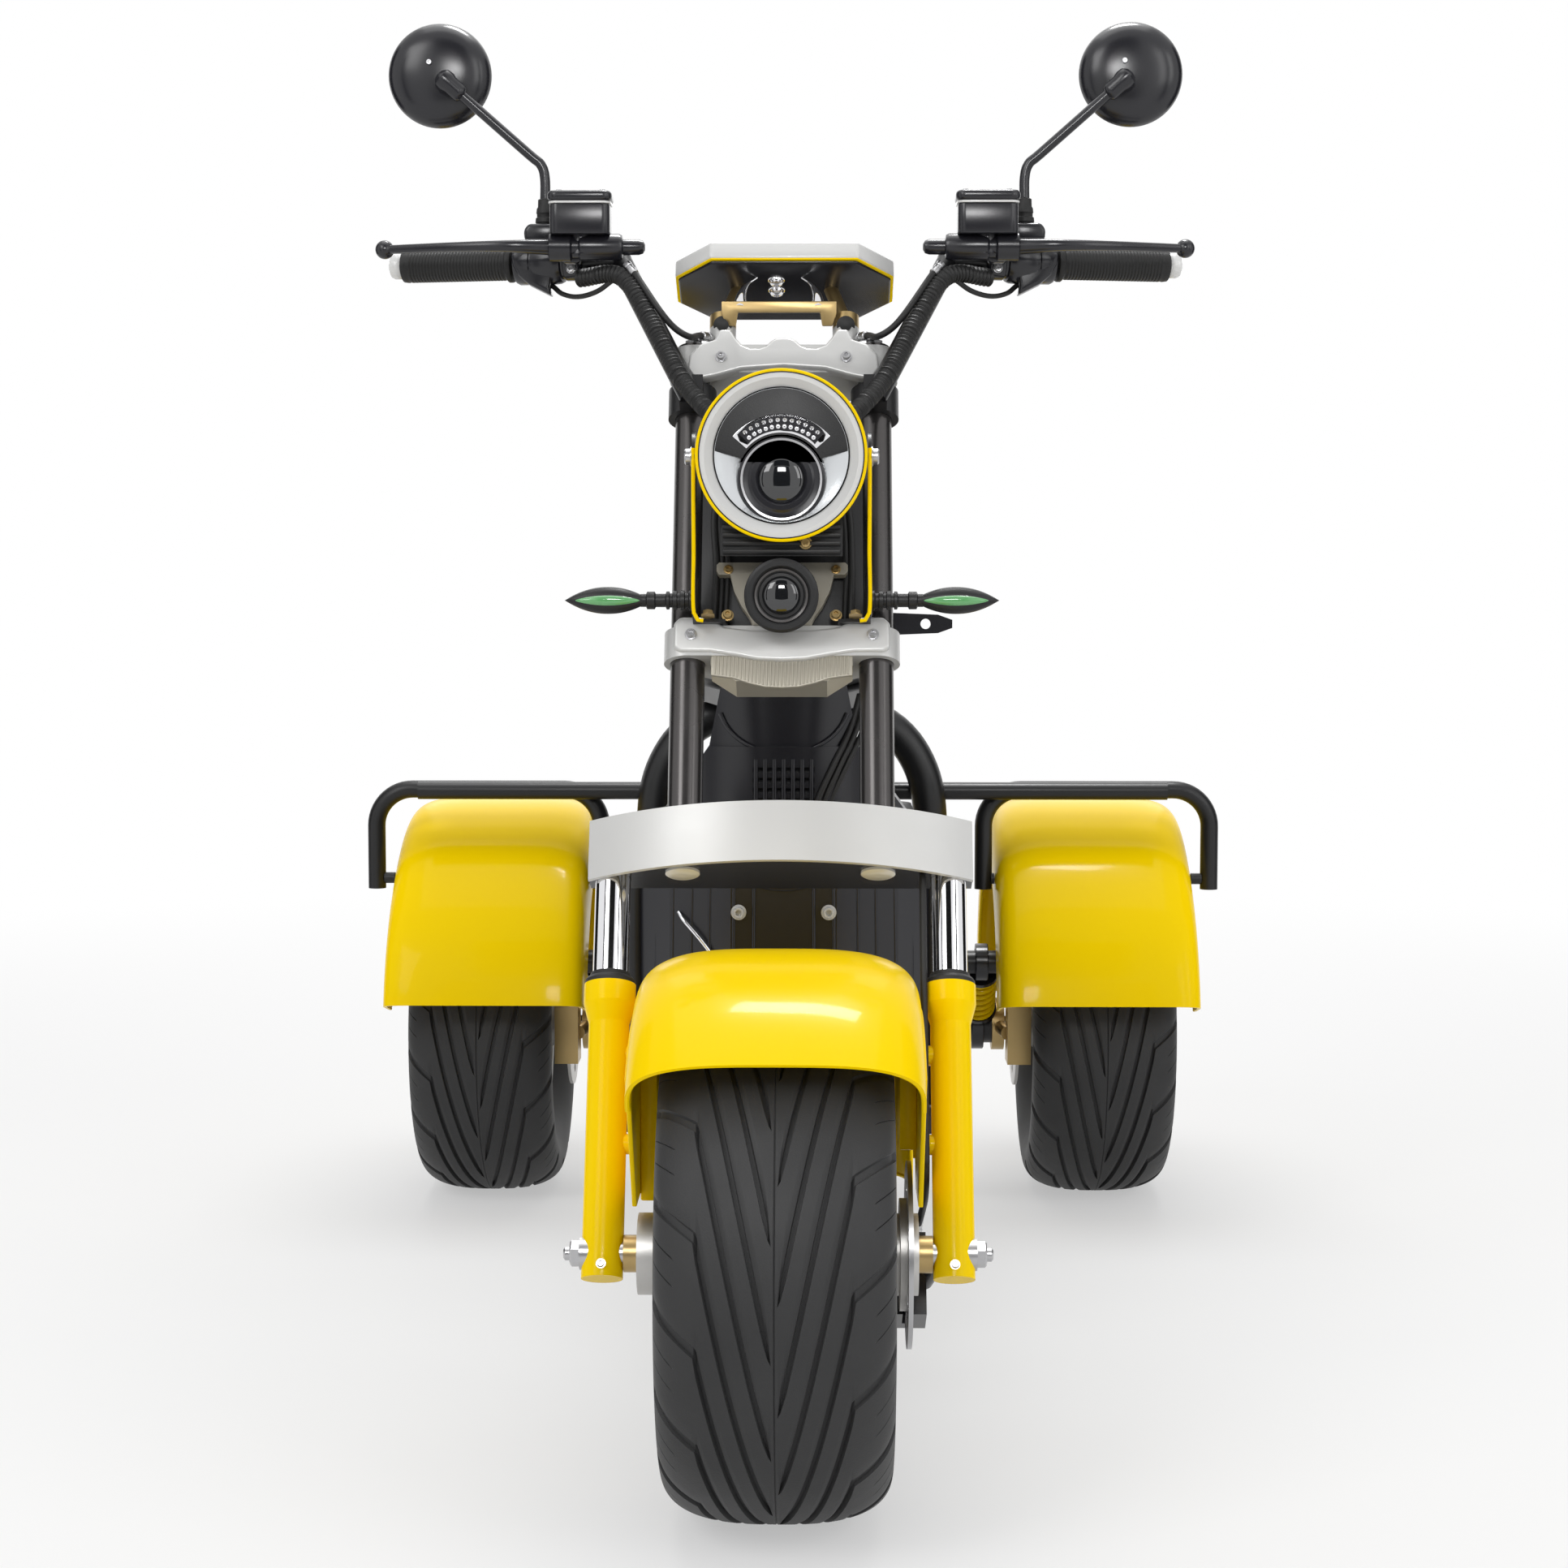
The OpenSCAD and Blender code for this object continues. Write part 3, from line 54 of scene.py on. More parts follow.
UP = Vector((0, 0, 1))
UP_FORK = Vector((0, math.sin(RAKE), math.cos(RAKE)))
BEHIND_FORK = Vector((0, math.cos(RAKE), -math.sin(RAKE)))
FORWARD = Vector((0, -1, 0))
ACROSS = Vector((1, 0, 0))
SIDES = (1, -1)

Piece = bpy.types.Object
Pairs = Sequence[tuple[float, float]]
Spots = Sequence[tuple[float, float, float]]


class Body(Enum):
    """The rigid bodies that pieces ride on."""

    CHASSIS = "chassis"
    STEERING = "steering"
    FRONT_WHEEL = "front_wheel"
    REAR_LEFT = "rear_wheel_left"
    REAR_RIGHT = "rear_wheel_right"


class Grain(Enum):
    """The fine relief of a surface."""

    NONE = "none"
    SPECKLE = "speckle"
    BRUSHED = "brushed"
    LEATHER = "leather"


@dataclass(frozen=True)
class Finish:
    """One surface finish, made into a procedural material on Object coordinates.

    Attributes:
        name: The material's name.
        slot: The record's material slot that it belongs to; not used.
        color: Linear base colour.
        metallic: Metal share of the shader.
        roughness: Middle of the roughness range.
        rough_spread: How far the roughness wanders about its middle.
        tone_spread: How much the colour darkens in its cloudy variation.
        coat: Clear coat weight.
        specular: Level of the plain reflection.
        grain: Kind of relief.
        grain_size: Size of one grain in metres.
        grain_depth: Depth of the relief in metres.
        sheen: Weight of the soft edge light on cloth and rubber.
        glow: Emission strength, in the base colour.
    """

    name: str
    slot: str
    color: tuple[float, float, float]
    metallic: float = 0.0
    roughness: float = 0.4
    rough_spread: float = 0.08
    tone_spread: float = 0.12
    coat: float = 0.0
    specular: float = 0.5
    grain: Grain = Grain.SPECKLE
    grain_size: float = 0.002
    grain_depth: float = 0.00008
    sheen: float = 0.0
    glow: float = 0.0

    COAT_ROUGHNESS = 0.06
    LEAST_ROUGHNESS = 0.02
    CLOUD_SCALE = 14.0
    CLOUD_DETAIL = 5.0
    GRAIN_DETAIL = 3.0
    BRUSH_STRETCH = (1.0, 12.0, 12.0)
    BUMP_STRENGTH = 0.6

    def material(self) -> bpy.types.Material:
        """Gives the material, built on first use."""
        return bpy.data.materials.get(self.name) or self._build()

    def _build(self) -> bpy.types.Material:
        """Builds the shader tree.

        Returns:
            The new material.
        """
        made = bpy.data.materials.new(self.name)
        made.use_nodes = True
        nodes, links = made.node_tree.nodes, made.node_tree.links
        shader = nodes["Principled BSDF"]
        values = {"Metallic": self.metallic, "Coat Weight": self.coat, "Coat Roughness": self.COAT_ROUGHNESS,
                  "Specular IOR Level": self.specular, "Sheen Weight": self.sheen,
                  "Emission Color": (*self.color, 1.0), "Emission Strength": self.glow}
        for socket, value in values.items():
            shader.inputs[socket].default_value = value
        place = nodes.new("ShaderNodeTexCoord").outputs["Object"]
        cloud = nodes.new("ShaderNodeTexNoise")
        cloud.inputs["Scale"].default_value = self.CLOUD_SCALE
        cloud.inputs["Detail"].default_value = self.CLOUD_DETAIL
        links.new(place, cloud.inputs["Vector"])
        tone = nodes.new("ShaderNodeMixRGB")
        tone.inputs["Color1"].default_value = (*self.color, 1.0)
        tone.inputs["Color2"].default_value = (*(c * (1.0 - self.tone_spread) for c in self.color), 1.0)
        links.new(cloud.outputs["Fac"], tone.inputs["Fac"])
        links.new(tone.outputs["Color"], shader.inputs["Base Color"])
        rough = nodes.new("ShaderNodeMapRange")
        rough.inputs["To Min"].default_value = max(self.LEAST_ROUGHNESS, self.roughness - self.rough_spread)
        rough.inputs["To Max"].default_value = self.roughness + self.rough_spread
        links.new(cloud.outputs["Fac"], rough.inputs["Value"])
        links.new(rough.outputs["Result"], shader.inputs["Roughness"])
        if self.grain is not Grain.NONE:
            self._add_relief(nodes, links, place, shader)
        return made

    def _add_relief(self, nodes: bpy.types.Nodes, links: bpy.types.NodeLinks,
                    place: bpy.types.NodeSocket, shader: bpy.types.Node) -> None:
        """Adds the bump of the surface's grain.

        Args:
            nodes: The tree's nodes.
            links: The tree's links.
            place: The Object coordinate socket.
            shader: The shader that takes the normal.
        """
        spread = nodes.new("ShaderNodeMapping")
        if self.grain is Grain.BRUSHED:
            spread.inputs["Scale"].default_value = self.BRUSH_STRETCH
        links.new(place, spread.inputs["Vector"])
        if self.grain is Grain.LEATHER:
            relief = nodes.new("ShaderNodeTexVoronoi")
            relief.feature = "SMOOTH_F1"
            height = relief.outputs["Distance"]
        else:
            relief = nodes.new("ShaderNodeTexNoise")
            relief.inputs["Detail"].default_value = self.GRAIN_DETAIL
            height = relief.outputs["Fac"]
        relief.inputs["Scale"].default_value = 1.0 / self.grain_size
        links.new(spread.outputs["Vector"], relief.inputs["Vector"])
        bump = nodes.new("ShaderNodeBump")
        bump.inputs["Strength"].default_value = self.BUMP_STRENGTH
        bump.inputs["Distance"].default_value = self.grain_depth
        links.new(height, bump.inputs["Height"])
        links.new(bump.outputs["Normal"], shader.inputs["Normal"])


YELLOW = Finish("yellow_gloss", "yellow_paint", (1.0, 0.685, 0.0), roughness=0.24, rough_spread=0.04,
                tone_spread=0.02, coat=0.08, specular=0.03, grain_size=0.004, grain_depth=0.00003)
POWDER = Finish("black_powder_coat", "frame_black", (0.013, 0.013, 0.014), roughness=0.34, specular=0.38,
                grain_size=0.0012, grain_depth=0.00012, tone_spread=0.25)
SILVER = Finish("silver_cast_paint", "silver_cast", (0.60, 0.60, 0.59), metallic=0.25, roughness=0.36,
                tone_spread=0.08, grain_size=0.0012)
CHROME = Finish("hard_chrome", "chrome", (0.80, 0.80, 0.82), metallic=1.0, roughness=0.06, rough_spread=0.03,
                tone_spread=0.05, grain=Grain.NONE)
STEEL = Finish("machined_steel", "steel", (0.52, 0.52, 0.53), metallic=1.0, roughness=0.30,
               grain=Grain.BRUSHED, grain_size=0.0015, grain_depth=0.00004)
CAST = Finish("cast_aluminium", "aluminium", (0.62, 0.61, 0.59), metallic=0.85, roughness=0.42,
              grain_size=0.0016, grain_depth=0.00012)
TUBE_GREY = Finish("dark_grey_metallic", "tube_grey", (0.088, 0.083, 0.082), metallic=0.85, roughness=0.26,
                   coat=0.1, grain_size=0.0008, grain_depth=0.00003)
MOULDED = Finish("moulded_black", "black_plastic", (0.014, 0.014, 0.015), roughness=0.42, specular=0.34,
                 grain_size=0.0014, grain_depth=0.00018, tone_spread=0.2)
GLOSS_BLACK = Finish("gloss_black", "gloss_black", (0.008, 0.008, 0.009), roughness=0.13, coat=0.15,
                     rough_spread=0.04, specular=0.4, grain_size=0.006, grain_depth=0.00003)
TYRE = Finish("tyre_rubber", "tyre", (0.020, 0.020, 0.021), roughness=0.62, rough_spread=0.12,
              tone_spread=0.35, grain_size=0.0016, grain_depth=0.00025, sheen=0.06)
RUBBER = Finish("soft_rubber", "grip_rubber", (0.014, 0.014, 0.014), roughness=0.52, specular=0.34,
                grain_size=0.001, grain_depth=0.0002, sheen=0.04)
LEATHER = Finish("seat_leather", "seat_cover", (0.022, 0.021, 0.020), roughness=0.44, grain=Grain.LEATHER,
                 grain_size=0.0026, grain_depth=0.0005, sheen=0.05, tone_spread=0.3)
ZINC = Finish("gold_zinc", "zinc", (0.50, 0.36, 0.16), metallic=0.9, roughness=0.34, tone_spread=0.25,
              grain_size=0.003, grain_depth=0.00005)
PALE = Finish("pale_gloss", "white_plastic", (0.72, 0.72, 0.71), roughness=0.24, coat=0.3, tone_spread=0.05,
              grain_size=0.003, grain_depth=0.00003)
REFLECTOR = Finish("lamp_reflector", "lamp_lens", (0.68, 0.70, 0.72), metallic=0.8, roughness=0.16,
                   tone_spread=0.1, grain_size=0.004, grain_depth=0.0001)
RED_LENS = Finish("red_lens", "red_lens", (0.45, 0.006, 0.006), roughness=0.16, coat=0.6, glow=0.05)
LENS_GLASS = Finish("dark_lens_glass", "lamp_lens", (0.012, 0.013, 0.015), roughness=0.03, rough_spread=0.01,
                    coat=1.0, grain=Grain.NONE)
BEIGE_CAST = Finish("beige_cast", "silver_cast", (0.45, 0.42, 0.35), metallic=0.35, roughness=0.40,
                    tone_spread=0.2, grain_size=0.0018, grain_depth=0.00014)
GREEN_LENS = Finish("green_lens", "", (0.15, 0.47, 0.17), roughness=0.12, rough_spread=0.04, coat=0.6,
                    tone_spread=0.35, grain_size=0.003, grain_depth=0.0003)

NODE_FINISHES: dict[Finish, tuple[str, ...]] = {
    POWDER: ("main_frame", "rear_hoop", "guard_rails", "swing_arms", "rear_axle", "handlebars", "lamp_plates"),
    BEIGE_CAST: ("lamp_bracket",),
    GLOSS_BLACK: ("front_fairing", "leg_shield", "parking_lever", "fork_crown", "front_caliper", "lower_lamp",
                  "brake_controls", "brake_levers", "mirrors"),
    MOULDED: ("floor_deck", "battery_box", "seat_base", "headlamp_bucket", "front_indicators"),
    LEATHER: ("seat",),
    RED_LENS: ("tail_lamp",),
    CAST: ("drive_motor", "front_rim", "rear_rim_left", "rear_rim_right"),
    YELLOW: ("rear_shocks", "rear_fender_left", "rear_fender_right", "fork_lowers", "front_fender"),
    ZINC: ("rear_calipers", "dash_bracket"),
    SILVER: ("lower_clamp", "top_clamp", "crown_cover"),
    TUBE_GREY: ("upper_tubes",),
    CHROME: ("stanchions",),
    STEEL: ("front_axle", "front_disc"),
    PALE: ("headlamp_rim", "dash"),
    REFLECTOR: ("headlamp_insert",),
    RUBBER: ("wiring_looms", "brake_hoses", "grips"),
    TYRE: ("front_tyre", "rear_tyre_left", "rear_tyre_right"),
}


def paint_nodes() -> None:
    """Gives every CAD node its finish."""
    for finish, names in NODE_FINISHES.items():
        for name in names:
            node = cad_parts[name]
            node.data.materials.clear()
            node.data.materials.append(finish.material())


def paint_faces(node: str, finish: Finish, chosen: Callable[[Vector], bool]) -> None:
    """Gives some faces of a CAD node another finish.

    Args:
        node: The CAD node.
        finish: The other finish.
        chosen: Tells from a face's middle whether it takes the finish.
    """
    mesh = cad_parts[node].data
    mesh.materials.append(finish.material())
    for face in mesh.polygons:
        if chosen(face.center):
            face.material_index = len(mesh.materials) - 1


def middle(node: str) -> Vector:
    """Gives the middle of a CAD node's box."""
    low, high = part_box(node)
    return (low + high) / 2


FRONT_AXLE = middle("front_tyre")


def spot(x: float, behind: float, up: float, side: int = 1) -> Vector:
    """Gives a place in millimetres: across to a side, behind the front axle and above the floor."""
    return Vector((side * x * MM, FRONT_AXLE.y + behind * MM, up * MM))


def fork_spot(x: float, behind: float, up: float, side: int = 1) -> Vector:
    """Gives a place on the raked fork in millimetres from the front axle."""
    return FRONT_AXLE + ACROSS * (side * x * MM) + BEHIND_FORK * (behind * MM) + UP_FORK * (up * MM)


def facing(place: Vector) -> Matrix:
    """Gives a frame whose own x is the image's right, y is up and z looks forward."""
    return Matrix.Translation(place) @ Matrix(((1, 0, 0), (0, 0, -1), (0, 1, 0))).to_4x4()


def fork_facing(behind: float) -> Matrix:
    """Gives a frame across and up the fork that looks forward, in millimetres behind the fork's axis."""
    turn = Matrix(((1, 0, 0), (0, UP_FORK.y, -BEHIND_FORK.y), (0, UP_FORK.z, -BEHIND_FORK.z))).to_4x4()
    return Matrix.Translation(FRONT_AXLE + BEHIND_FORK * behind * MM) @ turn


def side_on(place: Sequence[float], side: int = 1) -> Matrix:
    """Gives a frame whose own x runs along the trike, y is up and z looks to a side."""
    return Matrix.Translation(place) @ Matrix(((0, 0, side), (side, 0, 0), (0, 1, 0))).to_4x4()


def mm(rows: Sequence[Sequence[float]]) -> list[tuple[float, ...]]:
    """Turns rows of millimetres into metres."""
    return [tuple(v * MM for v in row) for row in rows]


def signed_power(v: np.ndarray, share: float) -> np.ndarray:
    """Raises to a power and keeps the sign, which squares a round section."""
    return np.sign(v) * np.abs(v) ** share


def arc(radius: float, from_deg: float, to_deg: float, steps: int,
        centre: tuple[float, float] = (0.0, 0.0)) -> list[tuple[float, float]]:
    """Lists the points of a flat arc.

    Args:
        radius: Radius in metres.
        from_deg: First angle, anticlockwise from +x.
        to_deg: Last angle.
        steps: Number of steps.
        centre: The arc's centre.

    Returns:
        The arc's points.
    """
    turns = [math.radians(from_deg + (to_deg - from_deg) * i / steps) for i in range(steps + 1)]
    return [(centre[0] + radius * math.cos(t), centre[1] + radius * math.sin(t)) for t in turns]


def round_box(w: float, h: float, r: float, steps: int = 6) -> list[tuple[float, float]]:
    """Lists the corners of a rectangle with round corners.

    Args:
        w: Width in millimetres.
        h: Height in millimetres.
        r: Corner radius in millimetres.
        steps: Steps of a corner.

    Returns:
        The outline in metres.
    """
    x, y, r = (w / 2 - r) * MM, (h / 2 - r) * MM, r * MM
    corners = ((x, y, 0), (-x, y, 90), (-x, -y, 180), (x, -y, 270))
    return [p for u, v, a in corners for p in arc(r, a, a + 90, steps, (u, v))]


def dome(radius: float, foot: float, bulge: float) -> list[tuple[float, float]]:
    """Lists the rings of a domed lens, in metres."""
    turns = [math.radians(a) for a in range(0, 90, 9)]
    return [(radius * math.cos(t), foot + bulge * math.sin(t)) for t in turns]


def smooth_line(path: Sequence[Vector], step: float) -> list[Vector]:
    """Draws a smooth line through points.

    Args:
        path: Points to pass.
        step: Rough distance between the line's points.

    Returns:
        The line's points.
    """
    ends = [path[0] * 2 - path[1], *path, path[-1] * 2 - path[-2]]
    line = []
    for p0, p1, p2, p3 in zip(ends, ends[1:], ends[2:], ends[3:]):
        count = max(2, round((p2 - p1).length / step))
        for i in range(count):
            t = i / count
            line.append(0.5 * (2 * p1 + (p2 - p0) * t + (2 * p0 - 5 * p1 + 4 * p2 - p3) * t * t
                               + (3 * p1 - p0 - 3 * p2 + p3) * t ** 3))
    return [*line, path[-1].copy()]


def pick(piece: Piece) -> None:
    """Selects one piece alone and makes it active."""
    bpy.ops.object.select_all(action="DESELECT")
    bpy.context.view_layer.objects.active = piece
    piece.select_set(True)


def start_editing() -> None:
    """Opens the active piece's mesh with all of it selected."""
    bpy.ops.object.mode_set(mode="EDIT")
    bpy.ops.mesh.select_all(action="SELECT")


def close_up(piece: Piece) -> Piece:
    """Merges coinciding corners and turns the faces outwards.

    Args:
        piece: The object to close.

    Returns:
        The same object.
    """
    pick(piece)
    start_editing()
    bpy.ops.mesh.remove_doubles(threshold=MERGE_REACH)
    bpy.ops.mesh.normals_make_consistent(inside=False)
    bpy.ops.object.mode_set(mode="OBJECT")
    return piece


def from_arrays(points: Sequence[Sequence[float]], faces: Sequence[Sequence[int]]) -> Piece:
    """Makes a mesh object from points and faces.

    Args:
        points: Rows of x, y, z in metres.
        faces: Corner indices of each face.

    Returns:
        The new object, active and selected.
    """
    mesh = bpy.data.meshes.new("piece")
    mesh.from_pydata([tuple(p) for p in points], [], [tuple(f) for f in faces])
    made = bpy.data.objects.new("piece", mesh)
    bpy.context.scene.collection.objects.link(made)
    pick(made)
    return made


def band(low: np.ndarray, high: np.ndarray) -> list[tuple[int, ...]]:
    """Lists the faces between two closed rings of corner numbers."""
    return list(zip(low.tolist(), np.roll(low, -1).tolist(), np.roll(high, -1).tolist(), high.tolist()))


def turned(rings: Pairs, at: Vector, along: Vector, sides: int = 48, hollow: bool = False) -> Piece:
    """Models a turned piece: a circle drawn up ring by ring.

    Args:
        rings: Radius and height of each ring, from the foot.
        at: The foot's place.
        along: The direction of the heights.
        sides: Corners of a ring.
        hollow: True where the last ring joins the first, as on a band.

    Returns:
        The new object, placed.
    """
    bpy.ops.object.select_all(action="DESELECT")
    fill = "NOTHING" if hollow else "NGON"
    bpy.ops.mesh.primitive_circle_add(vertices=sides, radius=rings[0][0], fill_type=fill)
    made = bpy.context.object
    start_editing()
    bpy.ops.transform.translate(value=(0, 0, rings[0][1]))
    steps = [*rings, rings[0]] if hollow else list(rings)
    draw = bpy.ops.mesh.extrude_edges_move if hollow else bpy.ops.mesh.extrude_region_move
    for (r0, z0), (r1, z1) in zip(steps, steps[1:]):
        draw(TRANSFORM_OT_translate={"value": (0, 0, z1 - z0)})
        bpy.ops.transform.resize(value=(r1 / r0, r1 / r0, 1.0), center_override=(0, 0, z1))
    bpy.ops.object.mode_set(mode="OBJECT")
    close_up(made)
    made.matrix_world = Matrix.Translation(at) @ along.to_track_quat("Z", "Y").to_matrix().to_4x4()
    return made


def plate(outline: Pairs, thick: float, place: Matrix, edge: float = 0.0, segments: int = 2) -> Piece:
    """Models a plate: an outline pulled up to its thickness, with eased edges.

    Args:
        outline: Corners in the plate's own plane, in metres.
        thick: Thickness in millimetres.
        place: Where the plate's plane stands.
        edge: Width of the eased edges in millimetres.
        segments: Steps of an eased edge.

    Returns:
        The new object, placed.
    """
    made = from_arrays([(x, y, 0.0) for x, y in outline], [range(len(outline))])
    start_editing()
    bpy.ops.mesh.extrude_region_move(TRANSFORM_OT_translate={"value": (0, 0, thick * MM)})
    bpy.ops.mesh.select_all(action="SELECT")
    bpy.ops.mesh.normals_make_consistent(inside=False)
    bpy.ops.object.mode_set(mode="OBJECT")
    if edge:
        apply_modifier(made, "BEVEL", width=edge * MM, segments=segments, limit_method="ANGLE")
    made.matrix_world = place
    return made


def lofted(rings: np.ndarray) -> Piece:
    """Skins closed rings of corners and caps both ends.

    Args:
        rings: Rings by corners by xyz.

    Returns:
        The new object.
    """
    corners = np.arange(rings.shape[0] * rings.shape[1]).reshape(rings.shape[:2])
    faces = [corners[0, ::-1].tolist(), corners[-1].tolist()]
    for low, high in zip(corners, corners[1:]):
        faces += band(low, high)
    return close_up(from_arrays(rings.reshape(-1, 3), faces))


def swept(path: Sequence[Vector], radii: Callable[[float], float], step: float, sides: int = 12) -> Piece:
    """Sweeps a round section along a smooth path.

    Args:
        path: Points that the middle line passes.
        radii: Radius at a length along the line.
        step: Distance between rings.
        sides: Corners of a ring.

    Returns:
        The new object.
    """
    line = smooth_line(path, step)
    rings, side, run = [], Vector((0.1, 0.2, 1)), 0.0
    for i, point in enumerate(line):
        following = line[min(i + 1, len(line) - 1)]
        ahead = (following - line[max(i - 1, 0)]).normalized()
        side = (side - ahead * side.dot(ahead)).normalized()
        other = ahead.cross(side)
        r = radii(run)
        for k in range(sides):
            turn = 2 * math.pi * k / sides
            rings.append(tuple(point + side * (r * math.cos(turn)) + other * (r * math.sin(turn))))
        run += (following - point).length
    return lofted(np.array(rings).reshape(len(line), sides, 3))


def tube(path: Sequence[Vector], radius: float, step: float, sides: int = 12) -> Piece:
    """Sweeps a round section of one radius along a path, with both sizes in millimetres."""
    return swept(path, lambda run: radius * MM, step * MM, sides)


def bolt(at: Vector, along: Vector, head_r: float, hex_socket: bool = True) -> Piece:
    """Models a bolt head on a washer.

    Args:
        at: The seat's place.
        along: The way the head stands out.
        head_r: Head radius in millimetres.
        hex_socket: True for a cap head with a hexagon recess, False for a hexagon head.

    Returns:
        The new object.
    """
    shape = [(1.35, 0.0), (1.35, 0.22), (1.0, 0.24)]
    shape += [(1.0, 1.1), (0.9, 1.25), (0.56, 1.25), (0.5, 0.6)] if hex_socket else [(1.0, 0.9), (0.85, 1.05)]
    return turned([(r * head_r * MM, z * head_r * MM) for r, z in shape], at, along, 18 if hex_socket else 6)


def apply_modifier(piece: Piece, kind: str, **settings: object) -> None:
    """Adds a modifier with its settings and applies it.

    Args:
        piece: The object to change.
        kind: The modifier's type.
        **settings: The modifier's values by name.
    """
    pick(piece)
    added = piece.modifiers.new(kind.lower(), kind)
    for name, value in settings.items():
        setattr(added, name, value)
    bpy.ops.object.modifier_apply(modifier=added.name)


def join(name: str, pieces: Sequence[Piece]) -> Piece:
    """Puts the places of pieces into their meshes and joins them into one.

    Args:
        name: The joined piece's name.
        pieces: Objects with their places set.

    Returns:
        The joined object.
    """
    pick(pieces[0])
    for piece in pieces:
        piece.select_set(True)
    bpy.ops.object.transform_apply(location=True, rotation=True, scale=True)
    if len(pieces) > 1:
        bpy.ops.object.join()
    made = bpy.context.view_layer.objects.active
    made.name = made.data.name = name
    return made


def settle(piece: Piece, finish: Finish, body: Body = Body.STEERING, smooth_deg: float = 35.0) -> Piece:
    """Smooths a piece, paints it and lets it ride.

    Args:
        piece: The object to finish.
        finish: Its finish.
        body: The body it moves with.
        smooth_deg: Edges flatter than this are shaded smooth.

    Returns:
        The same object.
    """
    pick(piece)
    bpy.ops.object.shade_smooth_by_angle(angle=math.radians(smooth_deg))
    piece.data.materials.append(finish.material())
    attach(piece, body.value)
    LOG.info("%s: %d faces on %s", piece.name, len(piece.data.polygons), body.value)
    return piece


def group(name: str, pieces: Sequence[Piece], finish: Finish, body: Body = Body.STEERING,
          smooth_deg: float = 35.0) -> Piece:
    """Joins pieces under a name and settles them."""
    return settle(join(name, pieces), finish, body, smooth_deg)


def read_points(piece: Piece, what: str = "co") -> np.ndarray:
    """Reads the places, or the normals, of a piece's corners."""
    values = np.empty(3 * len(piece.data.vertices))
    piece.data.vertices.foreach_get(what, values)
    return values.reshape(-1, 3)


def write_points(piece: Piece, points: np.ndarray) -> None:
    """Moves a piece's corners."""
    piece.data.vertices.foreach_set("co", points.ravel())
    piece.data.update()


